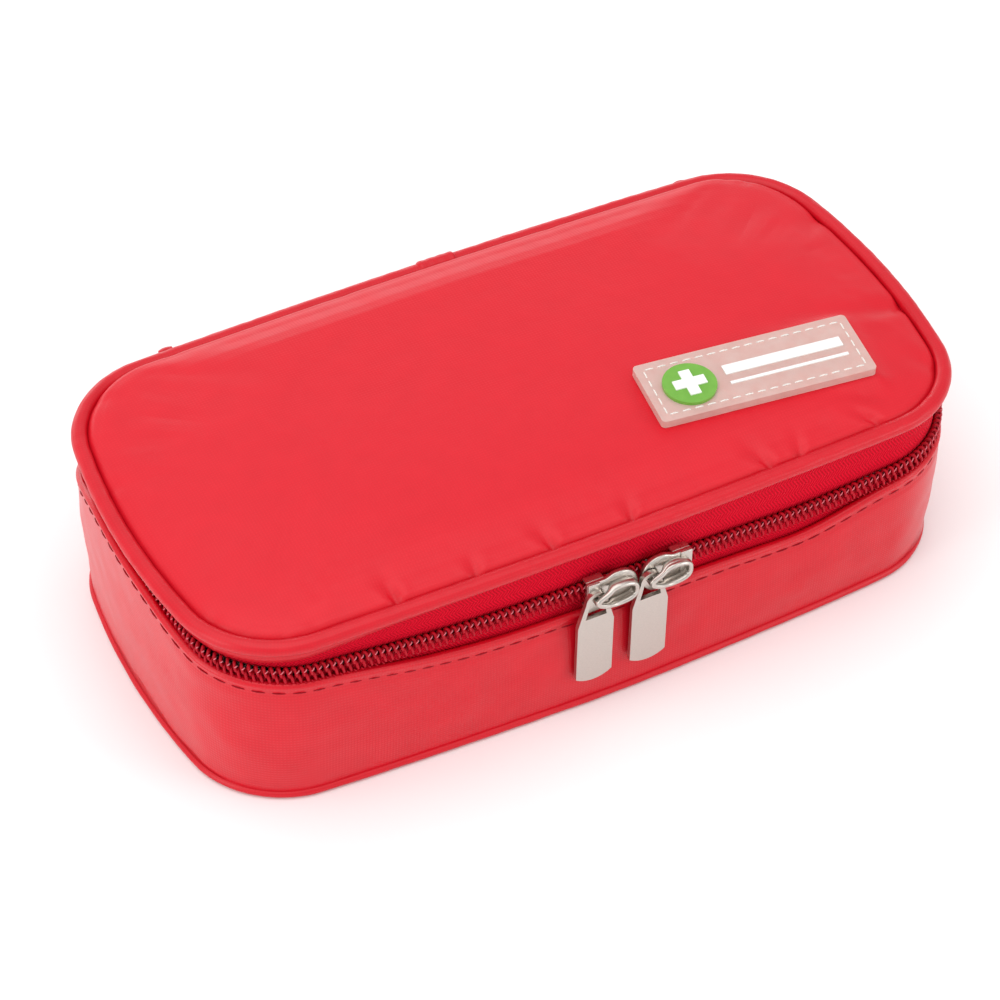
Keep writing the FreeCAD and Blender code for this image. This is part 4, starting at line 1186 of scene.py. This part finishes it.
def make_foams():
    floor_low, floor_high = heights_mm("base_floor_foam")

    def floor_top(x, y, depth, along):
        return floor_high - 0.35 * np.exp(-depth / 1.0)

    points = pad_points(lambda s: FLOOR_PAD_OUTSET, flat_at(floor_low + 0.02), floor_top)
    floor = plate("base_floor_pad", points)
    finish_piece(floor, "base", "foam", FOAM, "base_floor_foam")

    wall_low, wall_high = heights_mm("base_wall_foam")
    wall_high -= LINING_TURN
    along = LINE.even(2.0)
    wall = ribbon(
        "base_wall_pad", along, WALL_PAD_OUTSET, wall_low, wall_high, WALL_PAD_THICKNESS, 9, True
    )
    finish_piece(wall, "base", "foam", FOAM, "base_wall_foam")

    def lid_top(x, y, depth, along):
        return np.maximum(crown_height(depth, LINE.at(along)[1]) - LID_PAD_COVER, LID_PAD_LOW + 0.1)

    lid = plate("lid_pad", pad_points(lambda s: LID_PAD_OUTSET, flat_at(LID_PAD_LOW), lid_top))
    finish_piece(lid, "lid", "foam", FOAM, "lid_foam")


def make_base_liner():
    """One tray of cloth: it turns over the top of the wall's foam, goes down, and lies on the floor."""
    floor, top = heights_mm("base_lining")
    floor += 0.25
    top -= 0.1
    along = LINE.even(2.0)
    over = np.linspace(0, math.pi / 2, 6)
    corner = np.linspace(0.2, 1.5, 6)
    turned = top - LINING_TURN * 0.7 * (1 - np.sin(over))
    levels = np.concatenate(
        [turned, np.linspace(top - 0.4, floor + 2.5, 12), floor + 2.0 * (1 - np.sin(corner))]
    )
    height = np.repeat(levels[None, :], len(along), axis=0)
    bend = np.concatenate([-2.8 * np.cos(over), np.zeros(12), 2.0 * (1 - np.cos(corner))])
    soft = 0.12 * wrinkle(along, height, 9.0, 2.0)
    wall = ring_points(along, -4.62 - bend[None, :] + np.minimum(soft, 0.0), height)
    ground = plate_points(lambda s: -6.7, EDGE_RINGS, flat_at(floor))
    tray = plate("base_liner", np.concatenate([wall, ground], axis=1))
    thicken(tray, LINING_THICKNESS, 0.0)
    finish_piece(tray, "base", "lining", LINING, "base_lining")


def make_lid_liner():
    middle = sum(heights_mm("lid_lining")) / 2

    def hung(x, y, depth, along):
        return middle - 0.1 * np.clip(depth / 20, 0, 1)

    roof = plate("lid_liner", plate_points(lambda s: -3.0, EDGE_RINGS, hung))
    thicken(roof, LINING_THICKNESS, 0.0)
    finish_piece(roof, "lid", "lining", LINING, "lid_lining")


# ---------------------------------------------------------------- pocket and contents


YARN = 0.3
NET_CELL = 2.5


def net_mesh(name, low, high, cell, height):
    """A knitted net of six-sided holes over a rectangle. height(x, y) gives z."""
    columns = int((high[0] - low[0]) / cell)
    rows = int((high[1] - low[1]) / (cell * 0.8))
    step_x = (high[0] - low[0]) / columns
    step_y = (high[1] - low[1]) / rows
    vertices = []
    for r in range(rows + 1):
        for c in range(2 * columns + 1):
            lift = step_y * 0.22 * (1 if (c + r) % 2 else -1)
            x = low[0] + c * step_x / 2
            y = min(max(low[1] + r * step_y + lift, low[1]), high[1])
            vertices.append((x, y, height(x, y)))
    wide = 2 * columns + 1
    faces = []
    for r in range(rows):
        for c in range(r % 2, 2 * columns - 1, 2):
            base = r * wide + c
            faces.append((base, base + 1, base + 2, base + wide + 2, base + wide + 1, base + wide))
    net = link_mesh(name, vertices, faces)
    wire = net.modifiers.new("yarn", "WIREFRAME")
    wire.thickness = YARN * MM
    wire.use_even_offset = False
    return net


def make_pocket():
    low, high = box_mm("lid_mesh_pocket")

    def height(x, y):
        edge = min(x - low.x, high.x - x, y - low.y)
        return low.z + 0.25 + (high.z - low.z - 0.6) * math.exp(-((max(edge, 0) / 2.6) ** 2))

    net = net_mesh("lid_pocket_net", (low.x, low.y), (high.x, high.y), NET_CELL, height)
    finish_piece(net, "lid", "mesh", NET, "lid_mesh_pocket")

    low, high = box_mm("lid_pocket_binding")
    path = rounded_path(low.x + 2.0, low.y + 2.0, high.x - 2.0, high.y - 1.0, 3.0)
    level = (low.z + high.z) / 2
    strip = flat_strip("lid_pocket_edge", path, 3.8, level, min(high.z - low.z, 1.2) * 0.8)
    finish_piece(strip, "lid", "lining", BINDING, "lid_pocket_binding")


def rounded_path(left, front, right, back, radius):
    """Three sides of a rectangle, down the left, along the front and up the right, with rounded corners."""

    def corner(x, start):
        angles = np.linspace(start, start + math.pi / 2, 8)[1:]
        return [(x + radius * math.cos(a), front + radius + radius * math.sin(a)) for a in angles]

    points = [(left, y) for y in np.linspace(back, front + radius, 24)]
    points += corner(left + radius, math.pi)
    points += [(x, front) for x in np.linspace(left + radius, right - radius, 60)[1:]]
    points += corner(right - radius, 1.5 * math.pi)
    points += [(right, y) for y in np.linspace(front + radius, back, 24)[1:]]
    return np.array(points)


def flat_strip(name, path, width, level, thickness):
    """A tape lying flat along a path, a little rounded across its width."""
    ahead = np.gradient(path, axis=0)
    ahead = unit(ahead)
    across = np.stack([-ahead[:, 1], ahead[:, 0]], axis=1)
    share = np.linspace(-1, 1, 7)
    belly = thickness / 2 * np.sqrt(np.clip(1 - 0.7 * share**2, 0, 1))
    offset = np.concatenate([share, share[::-1]]) * width / 2
    rise = np.concatenate([belly, -belly[::-1]])
    flat = path[:, None] + offset[None, :, None] * across[:, None]
    z = np.broadcast_to(level + rise, flat.shape[:2])
    return lattice(name, np.concatenate([flat, z[..., None]], axis=2), loop_v=True, caps=True)


def packet(name, low, high, crimp, turn, rows=70):
    """A sealed flat wrapper: a thin pillow with ridged, crimped ends, a little turned on the pile."""
    middle = [(a + b) / 2 for a, b in zip(low, high)]
    half = [(b - a) / 2 for a, b in zip(low, high)]
    shrink = math.cos(turn) - abs(math.sin(turn)) * max(half[0] / half[1], half[1] / half[0])
    x = np.linspace(-1, 1, rows) * half[0] * shrink
    y = np.linspace(-1, 1, 25) * half[1] * shrink
    from_end = half[0] * shrink - np.abs(x)
    from_side = half[1] * shrink - np.abs(y)
    swell_x = np.clip((from_end - crimp) / 5.0, 0, 1)[:, None]
    swell_y = np.clip((from_side - 1.5) / 4.0, 0, 1)[None, :]
    swell = np.sin(swell_x * math.pi / 2) * np.sin(swell_y * math.pi / 2)
    thick = 0.07 + (half[2] - 0.22) * swell
    ridge = 0.1 * np.sin(2 * math.pi * x / 1.1) * (from_end < crimp)
    creases = np.array([[noise.noise(Vector((a / 5, b / 5, low[2]))) for b in y] for a in x])
    shift = ridge[:, None] + 0.16 * half[2] * creases * swell
    top = thick + shift
    bottom = -thick + shift
    z = np.concatenate([top, bottom[:, ::-1]], axis=1)
    wide = np.concatenate([y, y[::-1]])
    cos, sin = math.cos(turn), math.sin(turn)
    px = middle[0] + x[:, None] * cos - wide[None, :] * sin
    py = middle[1] + x[:, None] * sin + wide[None, :] * cos
    points = np.stack([px, py, middle[2] + np.clip(z, -half[2] + 0.01, half[2] - 0.01)], axis=2)
    return lattice(name, points[::-1], loop_v=True, caps=True)


PACKET_TURNS = (0.5, -0.7, 0.3, -0.4, 0.8)
PACKET_GAP = 0.1


def make_pile(node, label, count, crimp, slot, material, body="base", turns=PACKET_TURNS):
    """A pile of packets in the box of its CAD node, each turned by so many degrees."""
    low, high = box_mm(node)
    thickness = (high.z - low.z - PACKET_GAP * (count - 1)) / count
    for k in range(count):
        base = low.z + k * (thickness + PACKET_GAP)
        corners = ((low.x, low.y, base), (high.x, high.y, base + thickness))
        wrapped = packet(f"{label}_{k + 1}", *corners, crimp, math.radians(turns[k]))
        finish_piece(wrapped, body, slot, material, node)


def rolled_strip(name, centre, radii, ends, pitch, thickness, upright, samples=56):
    """A strip rolled into a spiral. The roll stands upright or lies along Y; ends are its two faces."""
    turns = (radii[1] - radii[0]) / pitch
    angle = np.linspace(0, 2 * math.pi * turns, int(turns * samples))
    slow = unevenness(angle, 2.4, centre[0], 0.5)
    radius = radii[0] + pitch * angle / (2 * math.pi) - thickness / 2 + 0.12 * pitch * slow
    share = np.linspace(0, 1, 9)
    edge = 0.35 * unevenness(angle, 3.1, 0.3, centre[0])
    reach = ends[1] - ends[0] - 0.8
    span = ends[0] + 0.4 + share[None, :] * reach + edge[:, None] * (2 * share[None, :] - 1)
    first = np.broadcast_to((centre[0] + radius * np.cos(angle))[:, None], span.shape)
    second = np.broadcast_to((centre[1] + radius * np.sin(angle))[:, None], span.shape)
    order = [first, second, span] if upright else [first, span, second]
    strip = lattice(name, np.stack(order, axis=2))
    return thicken(strip, thickness, 0.0)


def make_rolls():
    for node, label in (("bandage_roll_large", "bandage_large"), ("bandage_roll_small", "bandage_small")):
        low, high = box_mm(node)
        centre = ((low.x + high.x) / 2, (low.z + high.z) / 2)
        radius = (high.x - low.x) / 2 - 0.25
        roll = rolled_strip(label, centre, (2.2, radius), (low.y, high.y), 1.1, 0.78, False)
        finish_piece(roll, "base", "cotton", COTTON, node)
    low, high = box_mm("medical_tape_roll")
    centre = ((low.x + high.x) / 2, (low.y + high.y) / 2)
    core_low, core_high = box_mm("medical_tape_core")
    radii = ((core_high.x - core_low.x) / 2 + 0.35, (high.x - low.x) / 2 - 0.15)
    tape = rolled_strip("medical_tape", centre, radii, (low.z, high.z), 0.55, 0.42, True)
    finish_piece(tape, "base", "medical_tape", MEDICAL_TAPE, "medical_tape_roll")


# ---------------------------------------------------------------- label


def label_frame():
    """The label's centre on its top face, and its long, short and outward directions, from its CAD solid."""
    corners = np.array([v.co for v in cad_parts["label_plate"].data.vertices]) / MM
    centre = (corners.min(axis=0) + corners.max(axis=0)) / 2
    axes = np.linalg.svd(corners - centre, full_matrices=False)[2]
    long_way = axes[0] * np.sign(axes[0][0])
    up = axes[2] * np.sign(axes[2][2])
    short_way = np.cross(up, long_way)
    spread = (corners - centre) @ np.stack([long_way, short_way, up], axis=1)
    half = (spread.max(axis=0) - spread.min(axis=0)) / 2
    return centre + up * spread[:, 2].max(), long_way, short_way, up, half


LABEL_SEAM_INSET = 1.8
LONG_ROW = 16
SHORT_ROW = 5


def make_label_stitches():
    top, long_way, short_way, up, half = label_frame()
    reach_x = half[0] - LABEL_SEAM_INSET
    reach_y = half[1] - LABEL_SEAM_INSET
    centres, runs = [], []
    for across, count, start, direction in (
        (reach_y, LONG_ROW, -reach_x, long_way),
        (-reach_y, LONG_ROW, -reach_x, long_way),
        (reach_x, SHORT_ROW, -reach_y, short_way),
        (-reach_x, SHORT_ROW, -reach_y, short_way),
    ):
        other = short_way if direction is long_way else long_way
        pitch = -2 * start / count
        for k in range(count):
            centres.append(top + other * across + direction * (start + pitch * (k + 0.5)) + up * 0.06)
            runs.append(direction)
    lifts = np.repeat(up[None, :], len(runs), axis=0)
    dashes = capsules("label_thread", np.array(centres), np.array(runs), lifts, 2.2, STITCH_RADIUS, 8)
    finish_piece(dashes, "lid", "thread_white", STITCH_WHITE, "label_stitching")


# ---------------------------------------------------------------- sliders and pulls

SLIDER_HALF = 5.8
LEG_REACH = 4.3
PLATE_FACE = 2.7
BRIDGE_TOP = 5.2
LEG_TOP = 4.9
OVER_EYE = 4.25


def slider_frame(node):
    """A slider's centre on the zip, the way its rounded head points along X, and its outward direction."""
    low, high = box_mm(node)
    x = (low.x + high.x) / 2
    head = 1 if node == "slider_left_body" else -1
    along = LINE.near(x, -HALF_DEPTH)
    point, normal = LINE.at(np.array([along]))
    return np.array([point[0][0], point[0][1], ZIP_HEIGHT]), head, np.array([normal[0][0], normal[0][1], 0.0])


def placed(local, origin, head, out):
    """Points given as (towards the head, outward, up) put on the zip."""
    ahead = head * np.array([-out[1], out[0], 0.0])
    up = np.array([0.0, 0.0, 1.0])
    return origin + local[..., :1] * ahead + local[..., 1:2] * out + local[..., 2:] * up


def extruded(name, outline, low, high, origin, head, out):
    """A flat plate with that outline of (towards the head, up) points, between two outward levels."""
    count = len(outline)
    layers = [np.column_stack([outline[:, 0], np.full(count, level), outline[:, 1]]) for level in (low, high)]
    points = placed(np.concatenate(layers), origin, head, out)
    order = list(range(count))
    faces = [order[::-1], [count + k for k in order]]
    faces += [(k, (k + 1) % count, count + (k + 1) % count, count + k) for k in order]
    return face_outwards(link_mesh(name, points, faces))


def plate_outline(tail, head, taper_start=-1.9, taper_end=0.6):
    """A squared tail that widens to a rounded head."""
    side = [(-SLIDER_HALF, tail), (taper_start, tail)]
    for share in np.linspace(0, 1, 7)[1:]:
        ease = share * share * (3 - 2 * share)
        side.append((taper_start + share * (taper_end - taper_start), tail + (head - tail) * ease))
    start = taper_end + 1.2
    swing = np.linspace(-math.pi / 2, math.pi / 2, 25)
    nose = [(start + (SLIDER_HALF - start) * math.cos(a), head * math.sin(a)) for a in swing]
    return np.array([(x, -y) for x, y in side] + nose + side[::-1])


def bar_outline(low, high, half_width):
    return np.array([(low, -half_width), (high, -half_width), (high, half_width), (low, half_width)])


def teardrop_line(count=72):
    """The bridge's centre line: narrow over the pull's eye at one end, wide and round at the other."""
    turn = circle(count)
    x = 0.2 + 4.5 * np.sign(np.cos(turn)) * np.abs(np.cos(turn)) ** 0.75
    width = 2.45 * np.clip(0.42 + 0.58 * (x + 4.3) / 4.2, 0.42, 1.0)
    return np.stack([x, width * np.sign(np.sin(turn)) * np.abs(np.sin(turn)) ** 0.7], axis=1)


def bridge_points(toward_head):
    """A ring standing on the plate, whose end over the pull's eye is lifted clear of it."""
    line = teardrop_line() * [toward_head, 1]
    ahead = np.roll(line, -1, axis=0) - np.roll(line, 1, axis=0)
    ahead = unit(ahead)
    side = np.stack([-ahead[:, 1], ahead[:, 0]], axis=1)
    over_eye = 1 / (1 + np.exp((line[:, 0] * toward_head + 1.3) / 0.35))
    low = PLATE_FACE - 0.2 + (OVER_EYE - PLATE_FACE + 0.2) * over_eye
    top = BRIDGE_TOP - 0.45 * (1 - over_eye)
    section = [(-0.5, 0.0), (-0.56, 0.5), (-0.45, 0.86), (-0.2, 1.0), (0.2, 1.0), (0.45, 0.9), (0.58, 0.74)]
    section += [(0.48, 0.66), (0.6, 0.58), (0.62, 0.3), (0.5, 0.0)]
    points = []
    for offset, share in section:
        flat = line + side * offset
        points.append(np.column_stack([flat[:, 0], low + (top - low) * share, flat[:, 1]]))
    return np.stack(points, axis=1)


def make_slider(node, body, eye_at):
    """The slider: two plates, side rails, the post between them and the bridge that holds the pull."""
    origin, head, out = slider_frame(node)
    toward_head = 1 if eye_at * head < 0 else -1
    rail = np.array([(-SLIDER_HALF + 0.15, 3.1), (-1.6, 3.1), (-1.6, 3.7), (-SLIDER_HALF + 0.15, 3.7)])
    post = np.array([(2.6, -0.4), (4.9, -0.45), (4.9, 0.45), (2.6, 0.4)])
    leg_x = -LEG_REACH * toward_head
    flat_parts = (
        ("front_plate", plate_outline(3.7, 4.6), 1.4, PLATE_FACE, 0.38),
        ("back_plate", plate_outline(3.5, 4.1), -3.3, -2.1, 0.3),
        ("rail_0", rail, 0.0, 1.7, 0.15),
        ("rail_1", rail * [1, -1], 0.0, 1.7, 0.15),
        ("shoulder", bar_outline(-5.75, -3.0, 3.8), PLATE_FACE - 0.3, PLATE_FACE + 0.28, 0.22),
        ("post", post, -2.3, 1.6, 0.12),
        ("leg", bar_outline(leg_x - 0.6, leg_x + 0.6, 0.62), PLATE_FACE - 0.2, LEG_TOP, 0.25),
    )
    for part, outline, low, high, edge in flat_parts:
        piece = extruded(f"{body}_{part}", outline, low, high, origin, head, out)
        finish_piece(add_bevel(piece, edge), body, "nickel", NICKEL, node)
    ring_grid = placed(bridge_points(toward_head), origin, head, out)
    ring = face_outwards(lattice(f"{body}_bridge", ring_grid, loop_u=True, loop_v=True))
    ring.data.shade_smooth()
    finish_piece(ring, body, "nickel", NICKEL, node)


# ---------------------------------------------------------------- the scene

bpy.context.scene.view_settings.view_transform = "Standard"
make_camera()
make_stage()
make_base_wall()
make_topstitch()
make_bottom_welt()
make_bottom_panel()
make_lid_panel()
make_piping()
make_piping_core()
make_piping_lap()
make_tapes()
make_piping_flange()
make_coil("lid_coil", "lid", "lid_zip_coil", 1)
make_coil("base_coil", "base", "base_zip_coil", -1)
# The lid coil's thread carries the painted highlight colour; the base coil's thread keeps a plain red.
make_coil_stitches("lid_coil_thread_painted_highlight", "lid", 1, STITCH_PINK_HIGHLIGHT)
make_coil_stitches("base_coil_thread", "base", -1, STITCH_ZIP)
make_hinge()
make_hinge_stitches()
make_end_tabs()
make_seam_binding()
make_foams()
make_base_liner()
make_lid_liner()
make_pocket()
make_pile("plaster_strips", "plaster", 2, 4.0, "paper_wrap", PAPER, "lid", (0.6, -0.9))
make_pile("gauze_pads", "gauze_pad", 5, 4.5, "paper_wrap", PAPER)
make_pile("wipe_sachets", "wipe_sachet", 5, 4.0, "foil_wrap", FOIL)
make_rolls()
make_label_stitches()
make_slider("slider_left_body", "slider_left", -1)
make_slider("slider_right_body", "slider_right", -1)

KEPT_NODES = {
    "base_stiffener_board": (BOARD, 0.1),
    "medical_tape_core": (CARD, 0.15),
    "tweezers": (STEEL, 0.2),
    "label_plate": (CLEAR, 0.3),
    "label_disc": (GREEN, 0.3),
    "label_cross": (WHITE_PRINT, 0.06),
    "label_bars": (WHITE_PRINT, 0.06),
    "pull_left_tab": (NICKEL, 0.28),
    "pull_right_tab": (NICKEL, 0.28),
}


def dress_kept_nodes():
    """CAD solids whose shape is right keep it, with softened edges and a real finish."""
    for node, (material, edge) in KEPT_NODES.items():
        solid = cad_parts[node]
        solid.data.materials.clear()
        solid.data.materials.append(material)
        add_bevel(solid, edge)


dress_kept_nodes()
